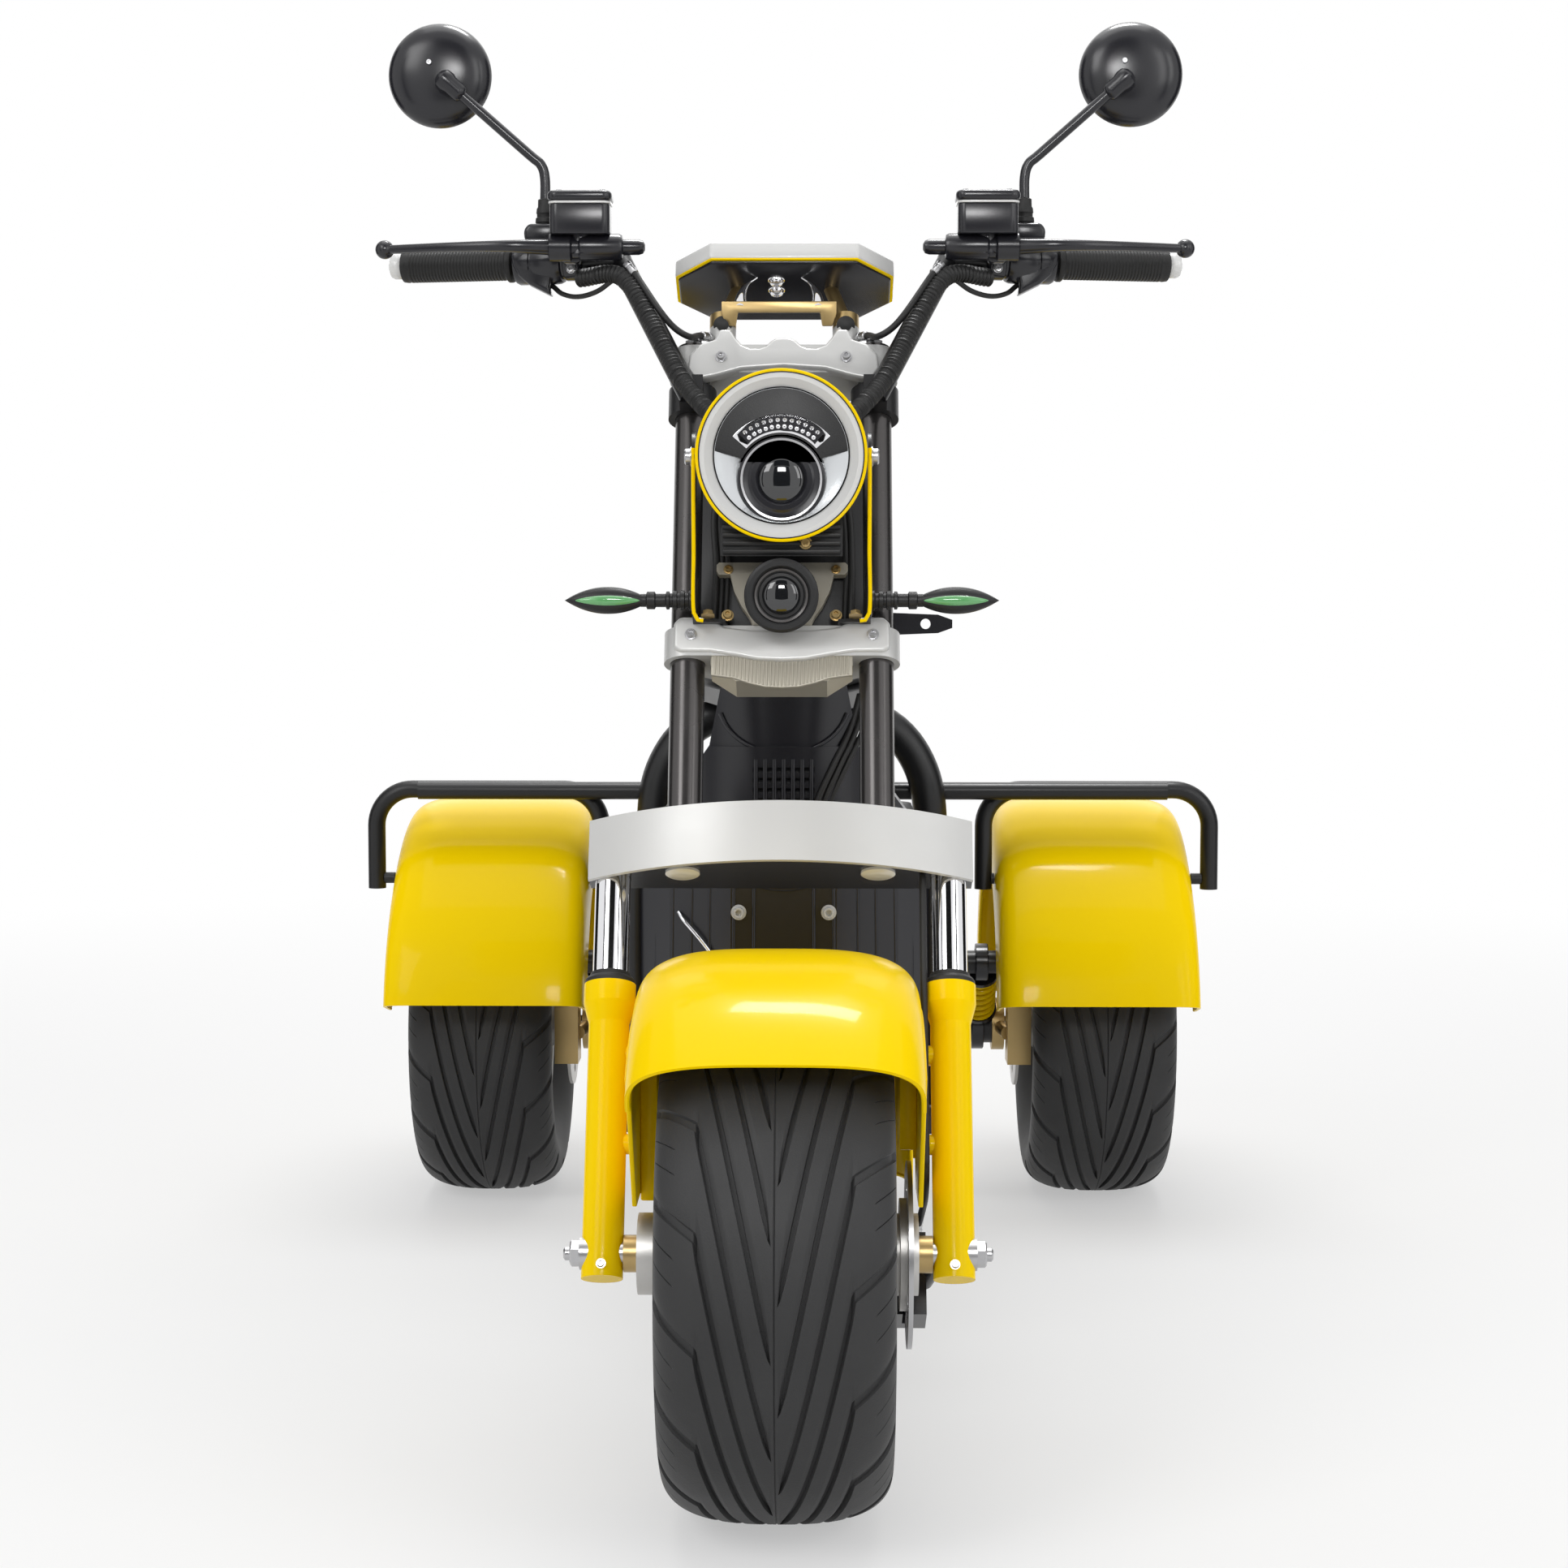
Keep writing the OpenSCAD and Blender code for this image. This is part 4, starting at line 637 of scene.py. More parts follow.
@dataclass
class TreadedTyre:
    """A fat tyre whose mesh lines follow its V grooves."""

    node: str
    body: Body
    rim_r: float = 0.127
    round_share: float = 2 / 2.7
    bead_narrow: float = 0.2
    bead_deg: float = -62.0
    samples: int = 600
    pitches: int = 15
    groove_half: float = 2.5 * MM
    groove_depth: float = 5.5 * MM
    bevel_w: float = 3.6 * MM
    tip_s: float = 2.5 * MM
    kink_share: float = 0.66
    shoulder_share: float = 1.20
    steep: float = 4.7
    flat: float = 0.75
    flat_wide: float = 1.7
    flat_depth: float = 0.55
    lines: Pairs = ((0.12, 0), (0.24, 0), (0.36, 1), (0.52, 0), (0.66, 1), (0.78, 0), (0.9, 0))
    sipe_half: float = 0.7 * MM
    sipe_depth: float = 1.2 * MM
    sipe_span: tuple[float, float] = (0.86, 1.12)
    centre_half: float = 0.9 * MM
    row_step: float = 2.4 * MM
    wall_rows: int = 16

    def build(self) -> None:
        """Models the tyre in place of its CAD node."""
        low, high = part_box(self.node)
        self.centre = (low + high) / 2
        self.outer_r = (high.z - low.z) / 2
        self.half_w = (high.x - low.x) / 2
        self.pitch = 2 * math.pi * self.outer_r / self.pitches
        self._trace_section()
        halves = np.array([self._half(self._rows(), side) for side in SIDES])
        corners = np.arange(halves[..., 0].size).reshape(halves.shape[:3])
        faces = [face for half in corners for rows in zip(half, half[1:]) for face in band(*rows)]
        faces += band(corners[0, -1], corners[1, -1])
        tyre = join(f"{self.node}_tread", [close_up(from_arrays(halves.reshape(-1, 3), faces))])
        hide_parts(self.node)
        settle(tyre, TYRE, self.body, smooth_deg=38.0)

    def _trace_section(self) -> None:
        """Traces the section's outer line from the crown to the bead by its length."""
        a = np.radians(np.linspace(90.0, self.bead_deg, self.samples))
        r_mid, half_h = (self.outer_r + self.rim_r) / 2, (self.outer_r - self.rim_r) / 2
        narrow = 1 - self.bead_narrow * np.maximum(0, -np.sin(a))
        self._r = r_mid + half_h * signed_power(np.sin(a), self.round_share)
        self._x = self.half_w * signed_power(np.cos(a), self.round_share) * narrow
        self._x[0] = 0.0
        self._s = np.concatenate([[0], np.cumsum(np.hypot(np.diff(self._r), np.diff(self._x)))])
        self.kink_s = self.kink_share * self.half_w
        self.shoulder_s = self.shoulder_share * self.half_w

    def _rows(self) -> np.ndarray:
        """Spaces the rows from the crown to the bead.

        Returns:
            Arc lengths from the crown.
        """
        first = [0.0, self.centre_half, 2 * self.centre_half]
        tread = np.arange(self.tip_s, self.shoulder_s + self.row_step, self.row_step)
        wall = np.linspace(self.shoulder_s + 2 * self.row_step, self._s[-1], self.wall_rows)
        return np.concatenate([first, tread, wall])

    def _lead(self, s: float) -> float:
        """Tells how far up the tyre a groove has climbed at a distance from the crown."""
        past = max(0.0, min(s, self.shoulder_s) - self.kink_s)
        return self.steep * min(s, self.kink_s) + self.flat * past

    def _offsets(self, s: float) -> tuple[list[float], list[float]]:
        """Places one pitch's mesh lines and their depths.

        Args:
            s: Distance from the crown.

        Returns:
            Offsets along the tread from the groove's middle, and depths.
        """
        inner = s < self.kink_s
        k = math.hypot(1.0, self.steep) if inner else math.hypot(1.0, self.flat) * self.flat_wide
        tip = min(1.0, max(0.0, (s - self.tip_s) / (3 * self.tip_s)))
        end = min(1.0, max(0.0, (self.shoulder_s - s) / (2 * self.row_step)))
        opened = math.sqrt(tip) * k
        depth = self.groove_depth * (tip > 0) * end * (1.0 if inner else self.flat_depth)
        g, b = self.groove_half, self.bevel_w
        offsets = [-g * opened, -0.8 * g * opened, 0.6 * g * opened, g * opened, (g + b) * opened]
        depths = [0.0, depth, depth, 0.3 * depth, 0.0]
        start, stop = offsets[-1], self.pitch + offsets[0]
        on_wall = self.sipe_span[0] * self.half_w < s < self.sipe_span[1] * self.half_w
        for share, sipe in self.lines:
            at = start + share * (stop - start)
            offsets += [at - self.sipe_half, at, at + self.sipe_half] if sipe else [at]
            depths += [0.0, self.sipe_depth * on_wall, 0.0] if sipe else [0.0]
        return offsets, depths

    def _half(self, rows: np.ndarray, side: int) -> np.ndarray:
        """Lays one half of the tyre.

        Args:
            rows: Arc lengths from the crown.
            side: 1 for +X, -1 for -X.

        Returns:
            Points as rows by columns by xyz.
        """
        per_pitch = len(self._offsets(0.0)[0])
        made = np.zeros((len(rows), per_pitch * self.pitches, 3))
        even = np.arange(per_pitch) / per_pitch * self.pitch
        starts = np.arange(self.pitches)[:, None] * self.pitch
        for j, s in enumerate(rows):
            offsets, depths = self._offsets(float(s))
            structured = np.array(offsets) - offsets[0] * (1 if s < self.tip_s else 0)
            share = min(1.0, max(0.0, (s - self.centre_half) / self.centre_half))
            line = even * (1 - share) + structured * share
            around = (starts + line[None, :]).ravel() + self._lead(float(s))
            around += self.pitch / 2 * (side < 0)
            depth = np.tile(np.array(depths), self.pitches) + self.centre_half * (s < self.centre_half)
            r, x = np.interp(s, self._s, self._r), np.interp(s, self._s, self._x)
            at = np.searchsorted(self._s, s, side="left").clip(0, self.samples - 1)
            lean = np.gradient(self._x, self._s)[at]
            r_at = r - depth * lean
            angle = around / self.outer_r
            made[j, :, 0] = self.centre.x + side * (x - depth * math.sqrt(max(0.0, 1 - lean * lean)))
            made[j, :, 1] = self.centre.y - r_at * np.cos(angle)
            made[j, :, 2] = self.centre.z + r_at * np.sin(angle)
        return made


@dataclass
class Headlamp:
    """The round headlamp: edge ring, mask, light-guide arc and projector."""

    edge_w: float = 2.4 * MM
    edge_proud: float = 0.8 * MM
    line_w: float = 1.0 * MM
    floor_back: float = 11.0 * MM
    dish: Pairs = ((0.3, -2.4), (1.0, -2.4), (1.0, 5), (0.94, 4), (0.75, 0), (0.3, -1))
    mask_r: float = 61.0 * MM
    mask_low: float = 4.0 * MM
    mask_inner: tuple[float, float] = (34.0 * MM, -3.0 * MM)
    mask_back: float = 2.0 * MM
    mask_thick: float = 3.0 * MM
    projector_drop: float = 21.5 * MM
    projector_r: float = 40.0 * MM
    barrel: Pairs = ((1, 0), (1, 4), (0.95, 5.4), (0.90, 5.4), (0.86, 4.4), (0.76, 3.2), (0.70, 4.6), (0.60, 4.8),
                     (0.56, 3.4), (0.50, 1.0))
    barrel_band: Pairs = ((0.93, 5.2), (0.93, 6.0), (0.88, 5.6), (0.88, 4.8))
    guide_in_r: float = 44.0 * MM
    guide_out_r: float = 57.0 * MM
    guide_deg: float = 43.0
    guide_pad: float = 2.0 * MM
    guide_end_deg: float = 6.0
    guide_cells: int = 11
    cell_rows: Pairs = ((-3.0, 2.2), (3.0, 2.6))
    cell_inset_deg: float = 5.0

    def build(self) -> None:
        """Models the lamp's front in place of the plain insert."""
        low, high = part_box("headlamp_rim")
        self.centre = Vector(((low.x + high.x) / 2, low.y, (low.z + high.z) / 2))
        self.rim_r = (high.z - low.z) / 2
        self._edge()
        reflector = [(k * self.mask_r, z * MM - self.floor_back) for k, z in self.dish]
        made = join("headlamp_reflector", [turned(reflector, self.centre, FORWARD, 72)])
        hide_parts("headlamp_insert")
        settle(made, REFLECTOR, smooth_deg=20.0)
        self._mask()
        self._guide()
        self._projector()

    def _edge(self) -> None:
        """Models the yellow ring and the dark line inside it."""
        r, w, proud = self.rim_r, self.edge_w, self.edge_proud
        ring = [(r + 0.4 * MM, -9 * MM), (r + 0.4 * MM, proud - w / 2), (r - w / 3, proud), (r - w, proud - w / 4),
                (r - w, -2 * MM)]
        group("headlamp_yellow_edge", [turned(ring, self.centre, FORWARD, 96, hollow=True)], YELLOW)
        inner = r - w - self.line_w
        line = [(r - w, -1 * MM), (r - w, 0.5 * MM), (inner, 0.5 * MM), (inner, -1 * MM)]
        group("headlamp_dark_line", [turned(line, self.centre, FORWARD, 96, hollow=True)], GLOSS_BLACK)

    def _mask(self) -> None:
        """Models the black mask over the upper half."""
        x, y = self.mask_inner
        start = math.degrees(math.asin(self.mask_low / self.mask_r))
        hood = arc(self.projector_r, 155, 25, 16, (0.0, -self.projector_drop))
        outline = [*arc(self.mask_r, start, 180 - start, 48), (-x, y), *hood, (x, y)]
        place = facing(self.centre - FORWARD * (self.floor_back - self.mask_back))
        group("headlamp_mask", [plate(outline, self.mask_thick / MM, place, edge=0.8)], MOULDED)

    def _guide(self) -> None:
        """Models the chrome window of the light guide and its cells."""
        down = (0.0, -self.projector_drop)
        base = self.floor_back - self.mask_back - self.mask_thick

        def window(pad: float, end: float) -> list[tuple[float, float]]:
            """Lists the window's outline, widened by a pad and lengthened by an angle."""
            a0, a1 = 90 - self.guide_deg - end, 90 + self.guide_deg + end
            return [*arc(self.guide_out_r + pad, a0, a1, 24, down), *arc(self.guide_in_r - pad, a1, a0, 24, down)]

        def ahead(lift: float) -> Matrix:
            """Gives the window's plane, lifted by millimetres."""
            return facing(self.centre - FORWARD * (base - lift * MM))

        rim = plate(window(self.guide_pad, self.guide_end_deg), 1.2, ahead(0), edge=0.5)
        group("headlamp_guide_rim", [rim], CHROME)
        group("headlamp_guide_pool", [plate(window(0, 0), 0.6, ahead(1.2))], GLOSS_BLACK)
        cells = []
        mid_r, reach = (self.guide_in_r + self.guide_out_r) / 2, self.guide_deg - self.cell_inset_deg
        for off, lift in self.cell_rows:
            rings = mm([(2.6, 0.0), (2.0, lift / 2), (0.5, lift)])
            for x, y in arc(mid_r + off * MM, 90 - reach, 90 + reach, self.guide_cells, down):
                cells.append(turned(rings, ahead(1.8) @ Vector((x, y, 0)), FORWARD, 8))
        group("headlamp_guide_cells", cells, CHROME, smooth_deg=20.0)

    def _projector(self) -> None:
        """Models the stepped projector and its lens."""
        at = self.centre - FORWARD * self.floor_back + Vector((0, 0, -self.projector_drop))
        r = self.projector_r
        barrel, ring = ([(k * r, z * MM) for k, z in table] for table in (self.barrel, self.barrel_band))
        group("headlamp_projector", [turned(barrel, at, FORWARD, 64)], GLOSS_BLACK, smooth_deg=25.0)
        group("headlamp_projector_band", [turned(ring, at, FORWARD, 64, hollow=True)], STEEL)
        lens = turned(dome(0.53 * r, 1.6 * MM, 7.0 * MM), at, FORWARD, 48)
        group("headlamp_projector_lens", [lens], LENS_GLASS, smooth_deg=60.0)


@dataclass
class LowerLamp:
    """The small round lamp on the cast bracket."""

    rings: Pairs = ((0.99, -2.0), (0.99, 1.0), (0.92, 2.2), (0.80, 2.2), (0.74, 0.4), (0.70, -2.0), (0.64, -2.6),
                    (0.60, -1.0), (0.52, -0.8), (0.48, -2.4))
    pale_band: Pairs = ((0.74, -1.6), (0.72, 0.9), (0.66, 0.2), (0.66, -1.6))
    lens_share: float = 0.50
    lens_foot: float = -2.5 * MM
    lens_bulge: float = 6.0 * MM

    def build(self) -> None:
        """Models the ring, the pale band and the lens."""
        low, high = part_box("lower_lamp")
        r = (high.x - low.x) / 2
        at = Vector((0, low.y, (low.z + high.z) / 2))
        steps, ring = ([(k * r, z * MM) for k, z in table] for table in (self.rings, self.pale_band))
        group("lower_lamp_ring", [turned(steps, at, FORWARD, 64)], MOULDED, smooth_deg=25.0)
        group("lower_lamp_band", [turned(ring, at, FORWARD, 64, hollow=True)], TUBE_GREY)
        lens = turned(dome(self.lens_share * r, self.lens_foot, self.lens_bulge), at, FORWARD, 40)
        group("lower_lamp_lens", [lens], LENS_GLASS, smooth_deg=60.0)


@dataclass
class Fender:
    """A bowed fender bent round its wheel, with a rolled edge."""

    node: str
    body: Body
    axle: Vector
    half_w: float
    radius: float
    wall: float
    drop: float
    bow_share: float
    from_deg: float
    to_deg: float
    front_share: float
    ease_deg: float = 50.0
    steps: int = 90
    across: int = 56
    roll_r: float = 2.2 * MM

    def build(self) -> None:
        """Models the shell and its rolled edges in place of the CAD node."""
        rings = []
        for turn in np.radians(np.linspace(self.from_deg, self.to_deg, self.steps)):
            outer, inner = self._line(0.0, turn), self._line(self.wall, turn)
            rings.append(self._ring(np.concatenate([outer, inner[::-1]]), turn))
        made = join(f"{self.node}_shell", [lofted(np.array(rings)), *self._rolled_edges()])
        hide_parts(self.node)
        settle(made, YELLOW, self.body, smooth_deg=50.0)

    def _line(self, inset: float, turn: float) -> np.ndarray:
        """Draws one face of the section, which is squarer at the front.

        Args:
            inset: How far the face lies inside the outer one.
            turn: Angle above the front.

        Returns:
            Radius and offset of each point.
        """
        along = min(1.0, max(0.0, (math.degrees(turn) - self.from_deg) / self.ease_deg))
        share = self.front_share + (self.bow_share - self.front_share) * along * along * (3 - 2 * along)
        half_w, radius, drop = self.half_w - inset, self.radius - inset, self.drop - inset
        a = np.radians(np.linspace(-90, 90, self.across + 1))
        r = radius - drop + drop * signed_power(np.cos(a).clip(0), share)
        return np.stack([r, half_w * signed_power(np.sin(a), share)], axis=1)

    def _ring(self, section: np.ndarray, turn: float) -> np.ndarray:
        """Stands the section at an angle above the front."""
        r, x = section[:, 0], section[:, 1]
        return np.stack([self.axle.x + x, self.axle.y - r * math.cos(turn), self.axle.z + r * math.sin(turn)], axis=1)

    def _rolled_edges(self) -> list[Piece]:
        """Models the rolls along the front, rear and side edges.

        Returns:
            The rolls.
        """
        set_in = self.roll_r / self.radius
        first, last = math.radians(self.from_deg) + set_in, math.radians(self.to_deg) - set_in
        ends = [[Vector(p) for p in self._ring(self._line(self.roll_r, a), a)] for a in (first, last)]
        line = self._line(self.roll_r, last)
        turns = np.linspace(first + set_in, last - set_in, self.steps)
        sides = [[Vector(self._ring(line[k:][:1], a)[0]) for a in turns] for k in (0, self.across)]
        return [tube(path, self.roll_r / MM, 20, 8) for path in (*ends, *sides)]


@dataclass
class FrontFender(Fender):
    """The front fender with the plates and bosses that hold it to the fork legs."""

    stay_x: float = 121.0
    stay_low: float = 274.0
    stay_half_l: float = 36.0
    stay_r: float = 212.0
    stay_thick: float = 4.0
    boss_ups: tuple[float, ...] = (96.0, 176.0)
    boss_r: float = 9.0
    leg_x: float = 151.0

    def build(self) -> None:
        """Models the shell, then its plates and bosses."""
        super().build()
        turns = [math.radians(a) for a in range(55, 133, 7)]
        rim = [(-self.stay_r * math.cos(t), FRONT_AXLE.z / MM + self.stay_r * math.sin(t)) for t in turns]
        outline = mm([(self.stay_half_l, self.stay_low), (-self.stay_half_l, self.stay_low), *rim])
        r, reach = self.boss_r, self.leg_x - self.stay_x - 8
        boss = mm([(1.3 * r, 0), (1.3 * r, 5), (r, 8), (r, reach)])
        pieces = []
        for side in SIDES:
            place = side_on((side * self.stay_x * MM - self.stay_thick * MM / 2, FRONT_AXLE.y, 0))
            pieces.append(plate(outline, self.stay_thick, place, edge=0.8))
            pieces += [turned(boss, fork_spot(self.stay_x - 4, 0, up, side), ACROSS * side, 24) for up in self.boss_ups]
        group("front_fender_stays", pieces, YELLOW, self.body)


@dataclass
class Looms:
    """The corrugated looms, the switch leads and the brake hoses with their fittings."""

    loom: Spots = ((199.7, 392, 1095), (158, 366, 1094), (129, 337, 1052), (100, 301, 997), (76, 270, 966),
                   (58, 248, 949))
    lead: Spots = ((233, 417, 1093), (226, 414, 1088), (219, 409, 1082), (207, 401, 1078), (194, 391, 1078),
                   (180, 381, 1082), (167, 372, 1090))
    hose: Spots = ((152, 368, 1106), (141, 356, 1092), (118, 338, 1058), (104, 338, 1042), (90, 341, 1034),
                   (82, 364, 1037), (72, 382, 1037))
    front_hose: Spots = ((127.5, -14, 339), (127.5, -14, 110), (127.5, -10, 74), (127.5, 20, 56), (126, 60, 50),
                         (123, 82, 42), (122, 84, 35))
    loom_r: float = 8.2 * MM
    wave: float = 0.9 * MM
    pitch: float = 4.2 * MM
    lead_r: float = 2.5
    hose_r: float = 3.2
    sleeve_r: float = 4.6
    sleeve_l: float = 16
    sleeve: Pairs = ((0.8, 0), (1, 0.06), (1, 0.3), (0.9, 0.34), (0.9, 0.6), (1, 0.64), (1, 0.94), (0.75, 1))

    def build(self) -> None:
        """Models the looms and hoses along the CAD routes."""
        looms, lines, ends = [], [], []
        for side in SIDES:
            loom, lead, hose = ([spot(*p, side) for p in path] for path in (self.loom, self.lead, self.hose))
            looms += [swept(loom, self._corrugated, self.pitch / 4, 16), tube(lead, self.lead_r, 3, 10)]
            lines.append(tube(hose, self.hose_r, 4))
            ends += [self._sleeve(hose[0], hose[1]), self._sleeve(hose[-1], hose[-2])]
        brake = [fork_spot(*p) for p in self.front_hose]
        lines.append(tube(brake, self.hose_r, 4))
        ends.append(self._sleeve(brake[-1], brake[-2]))
        loom = join("corrugated_looms", looms)
        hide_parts("wiring_looms")
        settle(loom, RUBBER, smooth_deg=45.0)
        hose = join("brake_hose_lines", lines)
        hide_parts("brake_hoses")
        settle(hose, RUBBER, smooth_deg=60.0)
        group("brake_hose_sleeves", ends, STEEL)

    def _corrugated(self, run: float) -> float:
        """Gives the loom's radius at a length along it."""
        return self.loom_r + self.wave * math.sin(2 * math.pi * run / self.pitch)

    def _sleeve(self, end: Vector, inner: Vector) -> Piece:
        """Models the crimped sleeve at a hose's end."""
        return turned(mm([(r * self.sleeve_r, z * self.sleeve_l) for r, z in self.sleeve]), end, inner - end, 16)


@dataclass
class DashTrim:
    """The dash's plate, screen, dark underside, yellow line, bolts, hooks and strap."""

    centre: tuple[float, float, float] = (0.0, 440.0, 1097.0)
    tilt_deg: float = 24.0
    half_w: float = 107.5
    half_l: float = 60.0
    corner: float = 36.0
    thick: float = 18.0
    lap: float = 0.4
    bolts: Pairs = ((-8.0, -25.0), (-8.0, -5.0))
    bolt_lift: float = 4.3
    bolt_r: float = 7.4
    head: Pairs = ((1.1, 0), (1.1, 0.15), (1, 0.2), (0.92, 0.5), (0.7, 0.78), (0.36, 0.92), (0.3, 0.6))
    strap_at: tuple[float, float, float] = (-5, 390, 1066)
    strap: Pairs = ((-56, 6), (-56, -6), (-52, -18), (-42, -18), (-40, -5), (40, -5), (42, -18), (52, -18), (56, -6),
                    (56, 6))
    hook: Spots = ((38, 392, 1066), (37, 396, 1078), (32, 402, 1089), (22, 408, 1097))
    pin: Pairs = ((7, 0), (9, 1), (9, 5), (6, 6), (6, 10), (3, 11))
    pin_at: tuple[float, float, float] = (60, 392, 1049)

    def build(self) -> None:
        """Models the dash in place of its CAD node, and its trim."""
        tilt = math.radians(self.tilt_deg)
        down = Vector((0, -math.sin(tilt), -math.cos(tilt)))
        along = Vector((0, math.cos(tilt), -math.sin(tilt)))
        face = spot(*self.centre) + down * (self.thick / 2 * MM)
        turn = Matrix(((1, 0, 0), (0, -along.y, down.y), (0, -along.z, down.z))).to_4x4()
        place = Matrix.Translation(face - down * self.lap * MM) @ turn

        def layer(inset: float, thick: float, lift: float, edge: float, segments: int = 2) -> list[Piece]:
            """Models one layer of the dash, in millimetres from its underside."""
            return [plate(self._octagon(inset), thick, place @ Matrix.Translation((0, 0, lift * MM)), edge, segments)]

        top = join("dash_plate", layer(0.0, self.thick, self.lap - self.thick, 2.5, 4))
        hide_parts("dash")
        settle(top, PALE)
        group("dash_screen", layer(15.0, 2.4, -(self.thick + 0.9), 0.8), GLOSS_BLACK)
        group("dash_yellow_line", layer(0.6, 1.6, 0.0, 0.5), YELLOW)
        group("dash_underside", layer(3.2, 4.5, 0.0, 2.2, 3), GLOSS_BLACK)
        rings = mm([(r * self.bolt_r, z * self.bolt_r) for r, z in self.head])
        seats = [place @ Vector((x * MM, -y * MM, self.bolt_lift * MM)) for x, y in self.bolts]
        group("dash_bolts", [turned(rings, seat, down, 28) for seat in seats], CHROME)
        self._strap()

    def _octagon(self, inset: float) -> list[tuple[float, float]]:
        """Lists the dash's outline, drawn in by an inset in millimetres."""
        w, l, c = self.half_w - inset, self.half_l - inset, self.corner - 0.6 * inset
        return mm([(c - w, -l), (w - c, -l), (w, c - l), (w, l - c), (w - c, l), (c - w, l), (-w, l - c), (-w, c - l)])

    def _strap(self) -> None:
        """Models the gold strap on the horns, the two crescent hooks and the pins."""
        group("dash_strap", [plate(mm(self.strap), 4, facing(spot(*self.strap_at)), edge=1.0)], ZINC)
        hooks, pins = [], []
        for side in SIDES:
            path = [spot(side * x + self.strap_at[0], y, z) for x, y, z in self.hook]
            hooks.append(swept(path, lambda run: max(1.0 * MM, 7.5 * MM - 0.2 * run), 2 * MM, 14))
            pins.append(turned(mm(self.pin), spot(*self.pin_at, side), FORWARD, 24))
        group("dash_hooks", hooks, CHROME, smooth_deg=60.0)
        group("dash_pins", pins, RUBBER)


@dataclass
class Indicators:
    """The leaf indicators with green lenses and stepped stalks."""

    root: tuple[float, float, float] = (82.3, -34.0, 600.0)
    stalk_l: float = 46.0
    leaf_l: float = 80.0
    leaf_h: float = 25.0
    leaf_d: float = 22.0
    lap: float = 7.8
    lens_h_share: float = 0.52
    lens_l_share: float = 0.84
    lens_proud: float = 2.0
    collar: Pairs = (
        (9.5, 0), (9.5, 3), (7.2, 4), (7.2, 7), (9.2, 7.5), (9.2, 11), (7.0, 11.5), (7.0, 14), (8.8, 14.5), (8.8, 18),
        (6.6, 18.5), (6.6, 21), (8.4, 21.5), (8.4, 24), (6.2, 25), (6.2, 34), (8.2, 35), (8.2, 42), (6, 43), (6, 48))

    def build(self) -> None:
        """Models both indicators in place of their CAD node."""
        bodies, lenses = [], []
        for side in SIDES:
            root = fork_spot(*self.root, side)
            bodies.append(turned(mm(self.collar), root, ACROSS * side, 28))
            centre = root + ACROSS * side * (self.stalk_l + self.leaf_l / 2 - self.lap) * MM
            bodies.append(self._leaf(centre, side, 1.0, 0.0, 1.0))
            lenses.append(self._leaf(centre, side, self.lens_h_share, self.lens_proud, self.lens_l_share))
        body = join("indicator_bodies", bodies)
        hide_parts("front_indicators")
        settle(body, MOULDED, smooth_deg=40.0)
        group("indicator_lenses", lenses, GREEN_LENS, smooth_deg=40.0)

    def _leaf(self, centre: Vector, side: int, h_share: float, proud: float, l_share: float) -> Piece:
        """Models a pointed leaf along the stalk's line.

        Args:
            centre: The leaf's middle.
            side: 1 for +X, -1 for -X.
            h_share: Share of the leaf's height.
            proud: How far it stands out in front, in millimetres.
            l_share: Share of the leaf's length.

        Returns:
            The new object.
        """
        turns = np.radians(np.arange(0, 360, 15))
        rings = []
        for s in np.sin(np.radians(np.linspace(-88, 88, 41))):
            swell = max(0.02, 1 - abs(s) ** 2.1)
            h, d = self.leaf_h / 2 * h_share * swell, self.leaf_d / 2 * math.sqrt(swell)
            x = np.full(len(turns), side * s * self.leaf_l / 2 * l_share)
            back = d * 0.9 * (1 if proud == 0 else 0.5)
            y = np.where(np.sin(turns) > 0, back, d * 0.9) * np.sin(turns) - proud
            rings.append(np.stack([x, y, h * signed_power(np.cos(turns), 0.8)], axis=1) * MM + np.array(centre))
        return lofted(np.array(rings))


